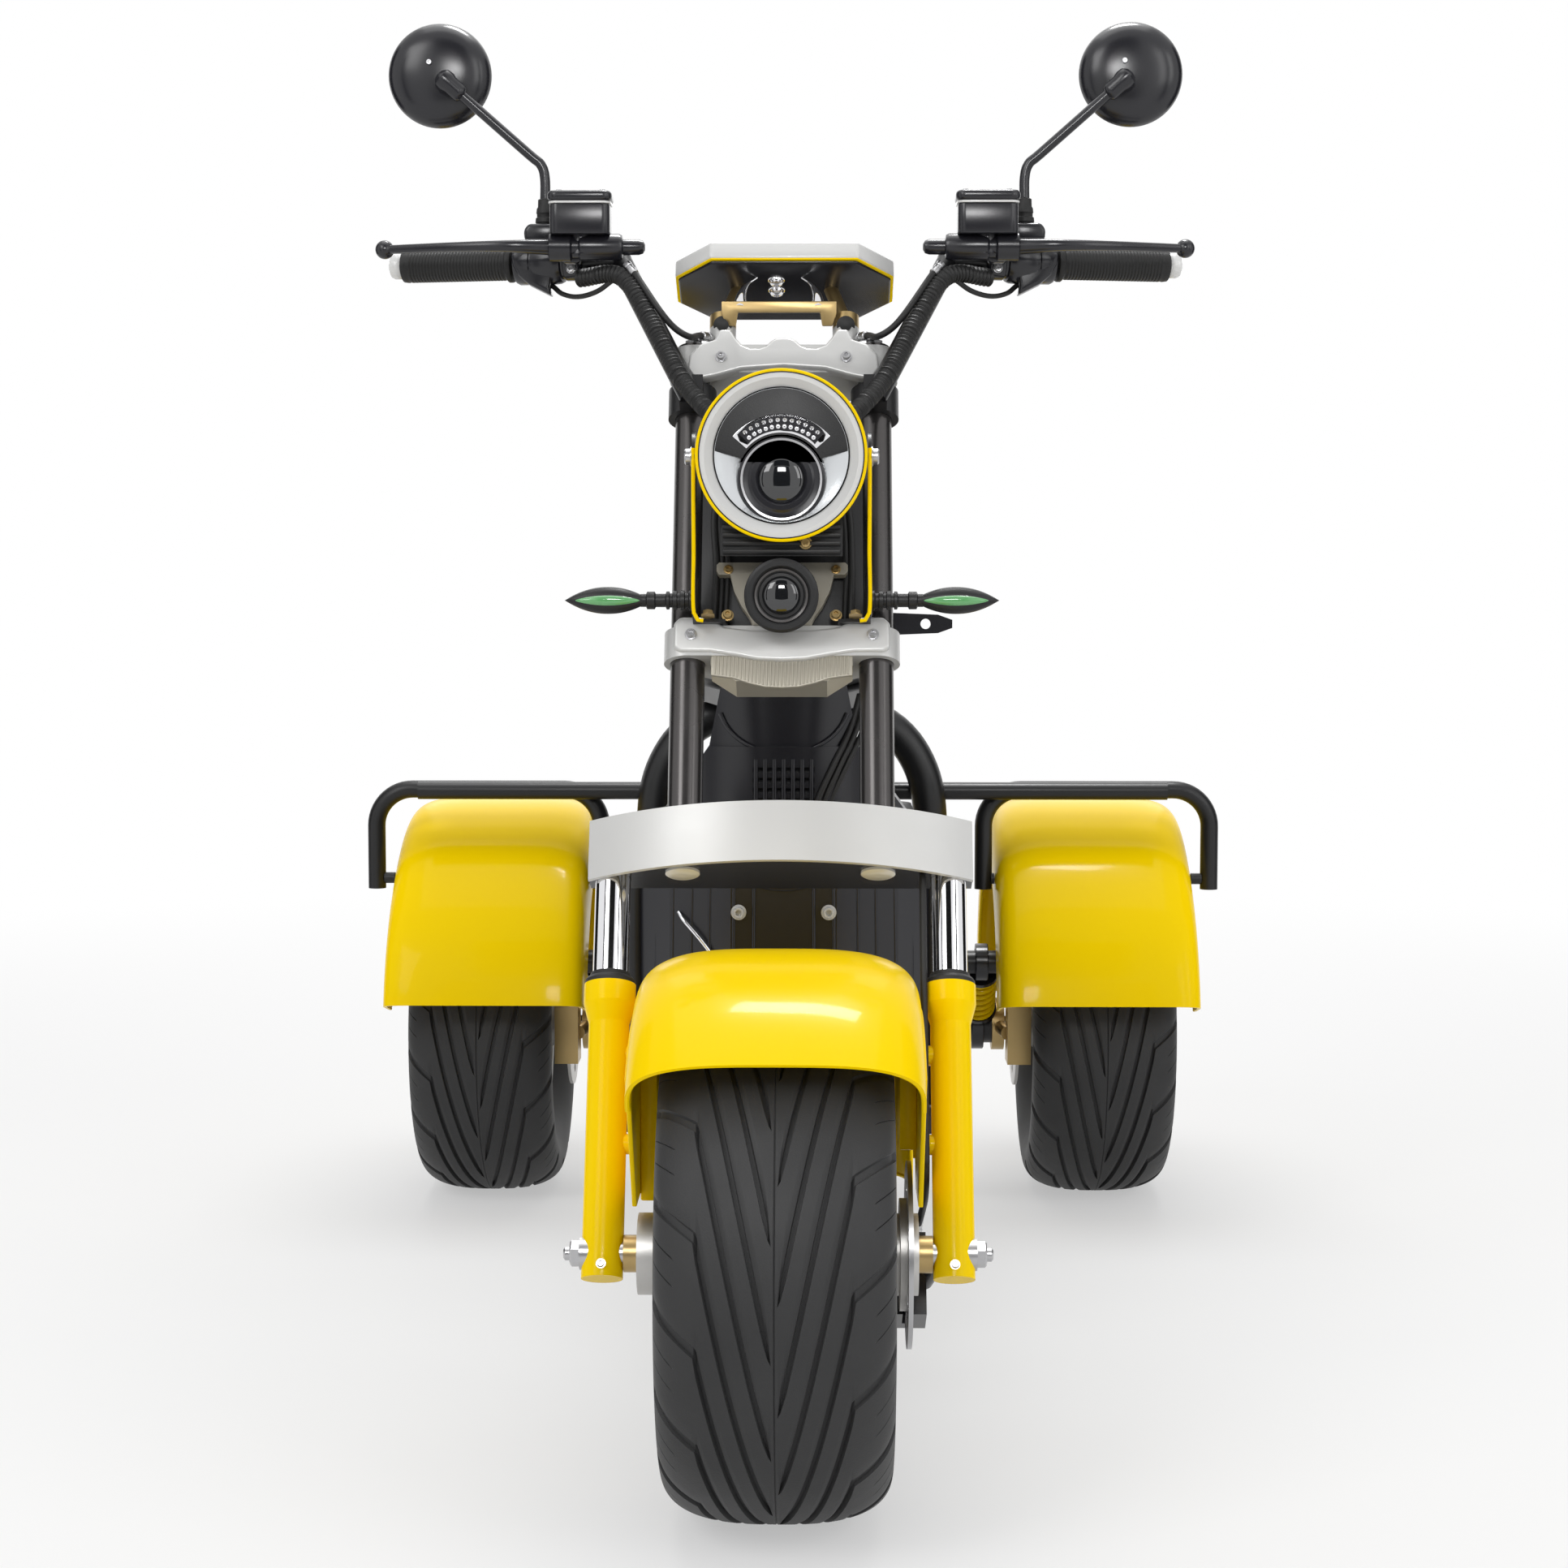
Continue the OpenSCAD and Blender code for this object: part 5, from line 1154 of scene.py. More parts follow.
@dataclass
class Mirrors:
    """The round mirrors on bent stalks with rubber boots."""

    head: tuple[float, float, float] = (340.0, 440.0, 1297.0)
    radius: float = 51.0
    dome: Pairs = ((0.86, 2.2), (0.88, 0.3), (0.95, 0.0), (1.0, 2.4), (0.988, 5.5), (0.955, 9.5), (0.89, 13.6),
                   (0.79, 17.2), (0.66, 20.0), (0.50, 22.0), (0.32, 23.3), (0.14, 23.9), (0.03, 24.0))
    glass: Pairs = ((0.2, 2.2), (0.855, 2.6), (0.855, 2.0))
    boot: Pairs = ((11, 0), (11, 4), (9.6, 5), (9.6, 8), (10.6, 9), (10.3, 13), (9.0, 14), (9.0, 17), (9.8, 18),
                   (9.4, 22), (8.2, 23), (8.2, 26), (8.8, 27), (8.4, 31), (7.2, 33), (7.0, 40), (5.2, 41))
    boot_at: tuple[float, float, float] = (235.0, 415.94, 1133.3)
    bend: tuple[float, float, float] = (235.0, 415.94, 1204.0)
    tip: tuple[float, float, float] = (328.0, 411.3, 1285.0)
    stalk_r: float = 5.0
    socket: Pairs = ((5.4, 0), (8.2, 2), (9.0, 5), (9.0, 16), (10.5, 21), (10.0, 27), (6.0, 31), (2.0, 32))
    socket_lap: float = 18.0
    screw: tuple[float, float, float] = (-8.0, -22.6, 10.0)
    screw_r: float = 2.6

    def build(self) -> None:
        """Models both mirrors in place of their CAD node."""
        shells, glasses, boots, screws = [], [], [], []
        shell, glass = (mm([(k * self.radius, z) for k, z in table]) for table in (self.dome, self.glass))
        for side in SIDES:
            centre = spot(*self.head, side)
            shells += [turned(shell, centre, FORWARD, 72), *self._stalk(side)]
            glasses.append(turned(glass, centre, FORWARD, 64))
            boots.append(turned(mm(self.boot), spot(*self.boot_at, side), UP, 28))
            screws.append(bolt(centre + Vector(self.screw) * MM, FORWARD, self.screw_r))
        body = join("mirror_shells", shells)
        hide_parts("mirrors")
        settle(body, GLOSS_BLACK, smooth_deg=40.0)
        group("mirror_glasses", glasses, CHROME)
        group("mirror_boots", boots, RUBBER)
        group("mirror_screws", screws, STEEL)

    def _stalk(self, side: int) -> list[Piece]:
        """Models the bent stalk and the socket on the dome.

        Args:
            side: 1 for +X, -1 for -X.

        Returns:
            The stalk and its socket.
        """
        low, knee, tip = (spot(*p, side) for p in (self.boot_at, self.bend, self.tip))
        path = [low, low.lerp(knee, 0.5), low.lerp(knee, 0.86), *(knee.lerp(tip, k) for k in (0.04, 0.16, 0.6)), tip]
        way = (tip - knee).normalized()
        return [tube(path, self.stalk_r, 4, 18), turned(mm(self.socket), tip - way * self.socket_lap * MM, way, 32)]


BAR_SWEEP = math.radians(12.0)


def bar_way(side: int) -> Vector:
    """Gives the way that the bar runs outwards."""
    return Vector((side * math.cos(BAR_SWEEP), math.sin(BAR_SWEEP), 0))


@dataclass
class BrakeControls:
    """The reservoirs, master cylinders, clamps and switch lobes on the bar."""

    tank: tuple[float, float, float] = (196.0, 368.0, 1133.0)
    tank_size: tuple[float, float, float] = (58.0, 40.0, 29.0)
    tank_corner: float = 8.0
    lid_over: float = 2.0
    lid_h: float = 10.0
    gasket_h: float = 2.2
    lid_screw_in: float = 8.0
    neck: Pairs = ((12, 0), (10, 6), (10, 22))
    neck_drop: float = 18.0
    master: tuple[float, float, float] = (134.0, 368.0, 1122.0)
    master_rings: Pairs = ((3, 0), (6.2, 2), (7.5, 6), (7.5, 21), (11.5, 22), (13, 25), (13, 62), (11, 64), (11, 70),
                           (13.8, 72), (13.8, 92), (8, 94))
    elbow: tuple[float, float, float] = (160.0, 400.0, 1112.0)
    clamp_rings: Pairs = ((16, 37), (18, 39), (18, 54), (16.5, 55), (16.5, 57), (19, 58), (20.5, 61), (21, 66),
                          (21, 84), (20, 86), (20, 88), (21, 89), (21, 102), (19.5, 105), (17, 106))
    lobe: Pairs = ((268, 1120), (266, 1108), (260, 1098), (250, 1090), (240, 1085), (228, 1079), (229.5, 1088),
                   (228, 1098), (224, 1106), (226, 1118), (236, 1126), (260, 1126))
    mount: Pairs = ((218, 1132), (216, 1142), (220, 1149), (250, 1149), (255, 1143), (254, 1132))
    arm_at: tuple[float, float, float] = (206.0, 408.0, 1118.0)
    screws: Spots = ((208, 391, 1104), (208, 391, 1122))

    def build(self) -> None:
        """Models both sides in place of their CAD node."""
        blacks, gaskets, screws = [], [], []
        for side in SIDES:
            blacks += self._reservoir(side, gaskets, screws)
            blacks.append(turned(mm(self.master_rings), spot(*self.master, side), ACROSS * side, 32))
            blacks.append(turned(mm(self.clamp_rings), spot(*self.elbow, side), bar_way(side), 36))
            for outline, back, thick in ((self.lobe, 428, 28), (self.mount, 430, 30)):
                flat = mm([(side * x, z) for x, z in outline])
                blacks.append(plate(flat, thick, facing(spot(0, back, 0)), edge=3.5, segments=3))
            blacks.append(plate(round_box(20, 22, 5), 40, facing(spot(*self.arm_at, side)), edge=2))
            screws += [bolt(spot(*p, side), FORWARD, 3.4) for p in self.screws]
        body = join("brake_control_bodies", blacks)
        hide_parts("brake_controls")
        settle(body, GLOSS_BLACK)
        group("reservoir_gaskets", gaskets, PALE)
        group("control_screws", screws, STEEL)

    def _reservoir(self, side: int, gaskets: list[Piece], screws: list[Piece]) -> list[Piece]:
        """Models a reservoir with its lid.

        Args:
            side: 1 for +X, -1 for -X.
            gaskets: Takes the pale gasket.
            screws: Takes the lid's screws.

        Returns:
            The tank, its neck and the lid.
        """
        w, l, h = self.tank_size
        foot, up = spot(*self.tank, side), UP * MM

        def box(over: float, lift: float, high: float, edge: float, segments: int = 2) -> Piece:
            """Models a rounded block that stands out over the tank's sides."""
            rim = round_box(w + over, l + over, self.tank_corner + over / 4)
            return plate(rim, high, Matrix.Translation(foot + up * lift), edge, segments)

        tank = box(0.0, 0.0, h, 1.5)
        gaskets.append(box(self.lid_over, h, self.gasket_h, 0.6))
        lid = box(2 * self.lid_over, h + self.gasket_h, self.lid_h, 4, 4)
        seat = foot + up * (h + self.gasket_h) + up * (self.lid_h - 0.6)
        for x in (self.lid_screw_in - w / 2, w / 2 - self.lid_screw_in):
            screws.append(bolt(seat + ACROSS * x * MM, UP, 2.8))
        return [tank, lid, turned(mm(self.neck), foot - up * self.neck_drop, UP, 24)]


@dataclass
class BarEnds:
    """The levers, the grips and the pale plugs of the bar."""

    lever: tuple[tuple[float, float, float, float, float], ...] = (
        (224, 368, 1122, 10, 7.5), (236, 365, 1122, 9.5, 7), (250, 360, 1122, 8.5, 6.4), (268, 357, 1122, 7.4, 5.6),
        (296, 362, 1122.3, 6.6, 5), (330, 372, 1122.6, 6.0, 4.6), (362, 384, 1122.8, 5.6, 4.4),
        (390, 395, 1123, 5.2, 4.2))
    ball_r: float = 9.2 * MM
    grip_at: tuple[float, float, float] = (266.0, 422.53, 1112.0)
    grip_l: float = 116.0
    grip_r: float = 15.6
    flange: Pairs = ((12, 0), (17.5, 0.6), (18.2, 2), (18.2, 5), (17, 6.4))
    rib_start: float = 9.0
    rib_h: float = 0.55
    ribs: int = 30
    plug_rings: Pairs = ((11.4, 115), (12.4, 117), (12.4, 124), (11, 127), (7, 129), (2, 129.5))

    def build(self) -> None:
        """Models both ends in place of their CAD nodes."""
        levers, grips, plugs = [], [], []
        for side in SIDES:
            levers += self._lever(side)
            foot, way = spot(*self.grip_at, side), bar_way(side)
            grips.append(turned(mm(self._grip_rings()), foot, way, 40))
            plugs.append(turned(mm(self.plug_rings), foot, way, 28))
        lever = join("brake_lever_blades", levers)
        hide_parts("brake_levers")
        settle(lever, GLOSS_BLACK, smooth_deg=50.0)
        grip = join("ribbed_grips", grips)
        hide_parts("grips")
        settle(grip, RUBBER)
        group("bar_end_plugs", plugs, PALE)

    def _lever(self, side: int) -> list[Piece]:
        """Models a blade and its ball end.

        Args:
            side: 1 for +X, -1 for -X.

        Returns:
            The blade and the ball.
        """
        turns = np.radians(np.arange(0, 360, 20))
        flat = np.zeros(len(turns))
        squared = [signed_power(wave, 0.7) for wave in (np.cos(turns), np.sin(turns))]
        rings = []
        for *at, deep, high in self.lever:
            section = np.stack([flat, squared[0] * deep, squared[1] * high], axis=1) * MM
            rings.append(np.array(spot(*at, side)) + section)
        tip, r = spot(*self.lever[-1][:3], side), self.ball_r
        ball = [(r * math.sin(math.radians(a)), r * (1 - math.cos(math.radians(a)))) for a in range(4, 180, 11)]
        return [lofted(np.array(rings)), turned(ball, tip - ACROSS * side * r, ACROSS * side, 32)]

    def _grip_rings(self) -> list[tuple[float, float]]:
        """Draws the grip's outline: a flange, fine ribs and a rounded end.

        Returns:
            Radius and height of each ring in millimetres.
        """
        r, end = self.grip_r, self.grip_l
        rings = [*self.flange, (r, 7.4)]
        pitch = (end - 2 * self.rib_start) / self.ribs
        for i in range(self.ribs):
            start = self.rib_start + i * pitch
            rings += [(r, start), (r + self.rib_h, start + 0.25 * pitch), (r + self.rib_h, start + 0.7 * pitch)]
        return [*rings, (r, end - 8), (r + 0.6, end - 6), (r, end - 1.5), (12, end)]


@dataclass
class LampTrim:
    """The yellow edges, bolts and ribs round the two lamps."""

    edge: Spots = ((80.5, -114, 716), (80.5, -96, 680), (80.5, -70, 634), (80.5, -44, 583), (72, -40, 577))
    edge_r: float = 1.9
    foot_bolt: tuple[float, float, float] = (68, -36, 583)
    face_bolts: tuple[tuple[float, float, float, float], ...] = ((50, -26.5, 588, 4.2), (50, -26.3, 635, 3.4))
    block_bolt: tuple[float, float, float] = (22, 205, 836)
    boss: tuple[float, float, float] = (82.0, 220.0, 915.0)
    cap: Pairs = ((9.5, 0), (9.5, 1.4), (7.6, 2), (7.6, 6), (6.2, 7.4), (3.4, 7.4), (3, 5))
    fins: int = 6
    fin_gap: float = 7.5
    fin_at: tuple[float, float] = (210.0, 828.0)

    def build(self) -> None:
        """Models the trim on the lamp's carriers."""
        edges, golds, steels = [], [], []
        for side in SIDES:
            edges.append(tube([fork_spot(*p, side) for p in self.edge], self.edge_r, 8, 10))
            golds.append(bolt(fork_spot(*self.foot_bolt, side), UP_FORK, 5.2, hex_socket=False))
            golds += [bolt(fork_spot(*at, side), -BEHIND_FORK, r) for *at, r in self.face_bolts]
            steels.append(turned(mm(self.cap), spot(*self.boss, side), ACROSS * side, 24))
        golds.append(bolt(spot(*self.block_bolt), FORWARD, 4.4))
        behind, low = self.fin_at
        places = [facing(spot(0, behind, low + i * self.fin_gap)) for i in range(self.fins)]
        fins = [plate(round_box(108, 3.6, 1.2, 3), 7, place, edge=0.8) for place in places]
        group("lamp_plate_edges", edges, YELLOW, smooth_deg=60.0)
        group("lamp_bracket_bolts", golds, ZINC)
        group("headlamp_pivot_caps", steels, STEEL)
        group("lamp_block_fins", fins, MOULDED)


@dataclass
class ClampTrim:
    """The cast front of the top clamp, the ribs of the lower one and their bolts."""

    face: Pairs = ((0, 880), (7, 879.4), (12, 876.5), (17, 871), (23, 868.4), (32, 868.4), (40, 872), (46, 880),
                   (51, 889), (62, 889), (66, 878), (80, 873), (90, 862), (92, 846), (84, 834), (66, 838), (40, 846),
                   (0, 849))
    low_face: Pairs = ((0, 574), (28, 575), (52, 578), (62, 584), (70, 588), (94, 588), (100, 582), (100, 558),
                       (94, 553), (66, 553), (42, 549), (22, 545), (0, 544))
    skirt: Pairs = ((0, 552), (65, 552), (65, 531), (44, 528), (30, 523), (16, 519.5), (0, 518.5))
    skirt_top: float = 550.0
    skirt_half: float = 0.068
    skirt_up: float = 0.5496
    half_ribs: int = 18
    rib_gap: float = 3.4
    top_bolt: tuple[float, float, float] = (87.5, 0, 881)
    face_bolts: Spots = ((84, -24.3, 570), (60, -28, 858))
    stem_nut: tuple[float, float, float] = (0, 45, 883)

    def build(self) -> None:
        """Models the castings' trim."""
        cast = [self._front(self.face, -15.0, 13.0, 3.0), self._front(self.low_face, -15.0, 9.5, 3.0)]
        group("clamp_castings", cast, SILVER, smooth_deg=45.0)
        ribs = [self._front(self.skirt, -17.0, 3.5, 1.0)]
        lower = self.skirt[:1:-1]
        for i in range(-self.half_ribs, self.half_ribs + 1):
            x = i * self.rib_gap
            low = float(np.interp(abs(x), [p[0] for p in lower], [p[1] for p in lower])) + 1.5
            path = ((x, -20.6, low), (x, -20.8, (low + self.skirt_top) / 2), (x, -20.6, self.skirt_top))
            ribs.append(tube([fork_spot(*p) for p in path], 0.9, 20, 6))
        bolts = []
        for side in SIDES:
            bolts.append(bolt(fork_spot(*self.top_bolt, side), UP_FORK, 9, hex_socket=False))
            bolts += [bolt(fork_spot(*p, side), -BEHIND_FORK, 4.2) for p in self.face_bolts]
        bolts.append(bolt(fork_spot(*self.stem_nut), UP_FORK, 13, hex_socket=False))
        group("lower_clamp_skirt", ribs, BEIGE_CAST)
        paint_faces("lower_clamp", BEIGE_CAST, self._on_skirt)
        group("clamp_bolts", bolts, STEEL)

    def _on_skirt(self, place: Vector) -> bool:
        """Tells whether a place on the lower clamp lies on its skirt."""
        return (place - FRONT_AXLE).dot(UP_FORK) < self.skirt_up and abs(place.x) < self.skirt_half

    @staticmethod
    def _front(half: Pairs, behind: float, thick: float, edge: float) -> Piece:
        """Models a casting's front from half its outline on the fork, in millimetres.

        Args:
            half: Distance across and up the fork, from the middle and back to it.
            behind: Where its back stands behind the fork's axis.
            thick: Its thickness.
            edge: Width of the eased edges.

        Returns:
            The new object.
        """
        outline = mm([*half, *((-x, t) for x, t in half[-2:0:-1])])
        return plate(outline, thick, fork_facing(behind), edge, segments=4)


@dataclass
class ForkTrim:
    """The dust seals, tube ends and drain screws of the fork."""

    leg_x: float = 151.0
    seal: Pairs = ((16.4, -1), (22.4, -1), (22.4, 3.5), (20.6, 6), (18.6, 7), (17.6, 10.5), (16.4, 11))
    seal_up: float = 240.0
    cap: Pairs = ((16.5, -1), (16.5, 2.4), (14.5, 4), (9, 4), (9, 7), (7.5, 8.4))
    cap_up: float = 388.0
    tube_end: Pairs = ((3, 0), (13.5, 0), (15.5, 1.2), (15.5, 4))
    tube_at: tuple[float, float, float] = (87.5, -20, 336.6)
    screw: tuple[float, float] = (-17.4, -12.0)

    def build(self) -> None:
        """Models the seals, the tube ends under the crown and the screws."""
        seals, ends, screws = [], [], []
        for side in SIDES:
            seals.append(turned(mm(self.seal), fork_spot(self.leg_x, 0, self.seal_up, side), UP_FORK, 40, hollow=True))
            seals.append(turned(mm(self.cap), fork_spot(self.leg_x, 0, self.cap_up, side), UP_FORK, 40))
            ends.append(turned(mm(self.tube_end), fork_spot(*self.tube_at, side), UP_FORK, 36))
            screws.append(bolt(fork_spot(self.leg_x, *self.screw, side), -BEHIND_FORK, 3.2))
        group("fork_dust_seals", seals, RUBBER)
        group("crown_tube_ends", ends, PALE)
        group("fork_drain_screws", screws, STEEL)


@dataclass
class ShieldTrim:
    """The leg shield's creases, edges, screws and rod, and the fairing's vents and cables."""

    creases: Pairs = ((30.0, 352.0), (50.0, 352.4), (74.0, 357.0), (92.0, 361.0), (111.0, 365.4), (128.0, 381.5))
    crease_run: Pairs = ((1.0, 284.0), (0.99, 400.0), (0.97, 524.0))
    screw: tuple[float, float, float] = (44.0, 351.6, 478.0)
    rod: Spots = ((-103.0, 361.0, 477.0), (-97.0, 354.0, 469.0), (-82.0, 350.0, 452.0), (-64.0, 351.0, 428.0))
    smile: Spots = ((-52.0, 352.0, 516.0), (-34.0, 350.5, 509.0), (-18.0, 350.0, 503.5), (0.0, 350.0, 501.5),
                    (18.0, 350.0, 503.5), (34.0, 350.5, 509.0), (52.0, 352.0, 516.0))
    edge: Spots = ((148, 402, 280), (148, 402, 400), (148, 402, 526))
    cables: Spots = ((26.0, 351.0, 560.0), (34.0, 348.0, 590.0), (50.0, 351.0, 625.0), (64.0, 361.0, 655.0),
                     (74.0, 374.0, 690.0))
    cable_offs: tuple[float, ...] = (0.0, 6.5, 13.0)
    vents: int = 7
    vent_gap: float = 9.0
    vent_front: float = 347.0
    vent_bow: float = 344.0
    vent_run: Pairs = ((0.0, 583.0), (-0.6, 605.5), (0.0, 628.0))

    def build(self) -> None:
        """Models the trim on the chassis' front."""
        creases = []
        for side in SIDES:
            for x, y in self.creases:
                creases.append(tube([spot(x * share, y, z, side) for share, z in self.crease_run], 1.7, 40, 10))
        creases.append(tube([spot(*p) for p in self.smile], 2.6, 5))
        screws = [bolt(spot(*self.screw, side), FORWARD, 5.6) for side in SIDES]
        vents = []
        for i in range(self.vents):
            x = (i - (self.vents - 1) / 2) * self.vent_gap
            y = self.vent_front + x * x / self.vent_bow
            vents.append(tube([spot(x, y + off, z) for off, z in self.vent_run], 2.3, 6))
        edges = [tube([spot(*p, side) for p in self.edge], 7.5, 50, 16) for side in SIDES]
        cables = [tube([spot(x + off, y + 0.5 * off, z) for x, y, z in self.cables], 2.8, 8) for off in self.cable_offs]
        group("leg_shield_creases", creases, GLOSS_BLACK, Body.CHASSIS, smooth_deg=60.0)
        group("leg_shield_screws", screws, SILVER, Body.CHASSIS)
        group("leg_shield_edges", edges, MOULDED, Body.CHASSIS)
        group("fairing_cables", cables, RUBBER, Body.CHASSIS, smooth_deg=60.0)
        group("fairing_vents", vents, GLOSS_BLACK, Body.CHASSIS, smooth_deg=60.0)
        group("shield_rod", [tube([spot(*p) for p in self.rod], 1.9, 4)], CHROME, Body.CHASSIS, smooth_deg=60.0)


@dataclass
class FrontFill:
    """The dark shroud behind the lamps, the fender's inner walls, the axle nuts and the fairing's crease."""

    shroud: Pairs = ((-76, 584), (76, 584), (76, 742), (46, 766), (-46, 766), (-76, 742))
    shroud_q: float = -8.0
    wires: Pairs = ((-63, 3.2), (-57.5, 2.4), (-52.5, 2.4), (58, 2.6), (63.5, 3.2))
    wall_x: float = 104.0
    wall_thick: float = 15.0
    wall_lows: tuple[float, float] = (313.0, 268.0)
    wall: Pairs = ((150, 395), (110, 425), (12, 440))
    spacer: tuple[float, float] = (0.1195, 0.1335)
    nut_x: float = 0.169
    nut_parts: tuple[tuple[int, Pairs], ...] = (
        (28, ((14, -8), (14, 1.6), (9, 1.8))), (6, ((11.5, 1.6), (11.5, 8.6), (9.8, 10))),
        (20, ((6, 9), (6, 14), (4.4, 15.5))))
    crease: Pairs = ((-62, 672), (-56, 660), (-46, 649), (-32, 640.5), (-16, 635.5), (0, 634), (16, 635.5), (32, 640.5),
                     (46, 649), (56, 660), (62, 672))
    crease_front: float = 348.6
    crease_bow: float = 330.0

    def build(self) -> None:
        """Models the pieces that close the front view."""
        shroud = plate(mm(self.shroud), 4, fork_facing(self.shroud_q), edge=1.5)
        group("lamp_shroud", [shroud], MOULDED)
        wires = []
        for x, r in self.wires:
            path = ((x, -15.5, 584), (x + 1.5, -17, 640), (x - 1, -16, 700), (0.8 * x, -15, 760))
            wires.append(tube([fork_spot(*p) for p in path], r, 8, 10))
        group("lamp_wires", wires, RUBBER, smooth_deg=60.0)
        self._walls()
        self._axle_nuts()
        path = [spot(x, self.crease_front + x * x / self.crease_bow, z) for x, z in self.crease]
        group("fairing_crease", [tube(path, 2.2, 5)], GLOSS_BLACK, Body.CHASSIS, smooth_deg=60.0)

    def _walls(self) -> None:
        """Models the fender's inner walls beside the tyre."""
        walls = []
        for side, low in zip(SIDES, self.wall_lows):
            x = self.wall_x if side > 0 else -self.wall_x - self.wall_thick
            outline = mm([(12, low), (150, low), *self.wall])
            walls.append(plate(outline, self.wall_thick, side_on((x * MM, FRONT_AXLE.y, 0)), edge=2))
        group("front_fender_walls", walls, YELLOW)

    def _axle_nuts(self) -> None:
        """Models the nuts and washers on the front axle's ends, and paints its spacers."""
        paint_faces("front_axle", ZINC, lambda place: self.spacer[0] < abs(place.x) < self.spacer[1])
        nuts = [turned(mm(rings), FRONT_AXLE + ACROSS * side * self.nut_x, ACROSS * side, sides)
                for side in SIDES for sides, rings in self.nut_parts]
        group("front_axle_nuts", nuts, STEEL)


@dataclass
class RearHoop:
    """The smooth tube hoop behind the seat post."""

    radius: float = 21.0
    half: Spots = ((0.0, 1095.0, 636.5), (50.0, 1095.0, 637.0), (88.0, 1095.0, 634.0), (118.0, 1095.0, 620.5),
                   (142.0, 1095.0, 598.0), (160.0, 1095.3, 566.0), (169.0, 1098.0, 530.0), (172.0, 1118.0, 480.0),
                   (172.0, 1158.0, 398.0), (172.0, 1200.0, 312.0))

    def build(self) -> None:
        """Models the hoop in place of its CAD node."""
        path = [spot(*p, -1) for p in self.half[:0:-1]] + [spot(*p) for p in self.half]
        hoop = join("rear_hoop_tube", [tube(path, self.radius, 10, 32)])
        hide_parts("rear_hoop")
        settle(hoop, POWDER, Body.CHASSIS, smooth_deg=60.0)


@dataclass
class Shocks:
    """The rear shocks: eyes, damper and coil."""

    foot: tuple[float, float, float] = (241.0, 1300.0, 217.0)
    top: tuple[float, float, float] = (241.0, 1200.0, 312.0)
    eye_rs: tuple[float, float] = (33.0, 24.0)
    coil_r: float = 18.5 * MM
    coil_span: tuple[float, float] = (0.27, 0.83)
    wire_r: float = 3.6
    turns: float = 6.5
    turn_steps: int = 14
    damper: Pairs = ((11, 0.16), (11, 0.22), (24, 0.24), (24, 0.28), (12.5, 0.30), (12.5, 0.56), (10, 0.57), (8, 0.60),
                     (8, 0.80), (23, 0.82), (23, 0.86), (10, 0.87), (10, 0.92))

    def build(self) -> None:
        """Models both shocks in place of their CAD node."""
        dampers, coils = [], []
        for side in SIDES:
            foot, top = spot(*self.foot, side), spot(*self.top, side)
            way = top - foot
            dampers.append(turned([(r * MM, k * way.length) for r, k in self.damper], foot, way, 32))
            for place, r in zip((foot, top), self.eye_rs):
                eye = mm([(r - 7, -8), (r - 1, -8), (r, -7), (r, 7), (r - 1, 8), (r - 7, 8)])
                dampers.append(turned(eye, place, ACROSS * side, 40, hollow=True))
            coils.append(self._coil(*(foot.lerp(top, k) for k in self.coil_span)))
        body = join("shock_bodies", dampers)
        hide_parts("rear_shocks")
        settle(body, GLOSS_BLACK, Body.CHASSIS)
        group("shock_coils", coils, YELLOW, Body.CHASSIS, smooth_deg=60.0)

    def _coil(self, low: Vector, high: Vector) -> Piece:
        """Models a coil spring between two places.

        Args:
            low: The coil's foot.
            high: The coil's top.

        Returns:
            The coil.
        """
        way = (high - low).normalized()
        side = way.orthogonal().normalized()
        other = way.cross(side)
        count = self.turns * self.turn_steps
        path = []
        for i in range(int(count) + 1):
            turn = 2 * math.pi * i / self.turn_steps
            around = side * math.cos(turn) + other * math.sin(turn)
            path.append(low.lerp(high, i / count) + around * self.coil_r)
        return tube(path, self.wire_r, 5, 10)


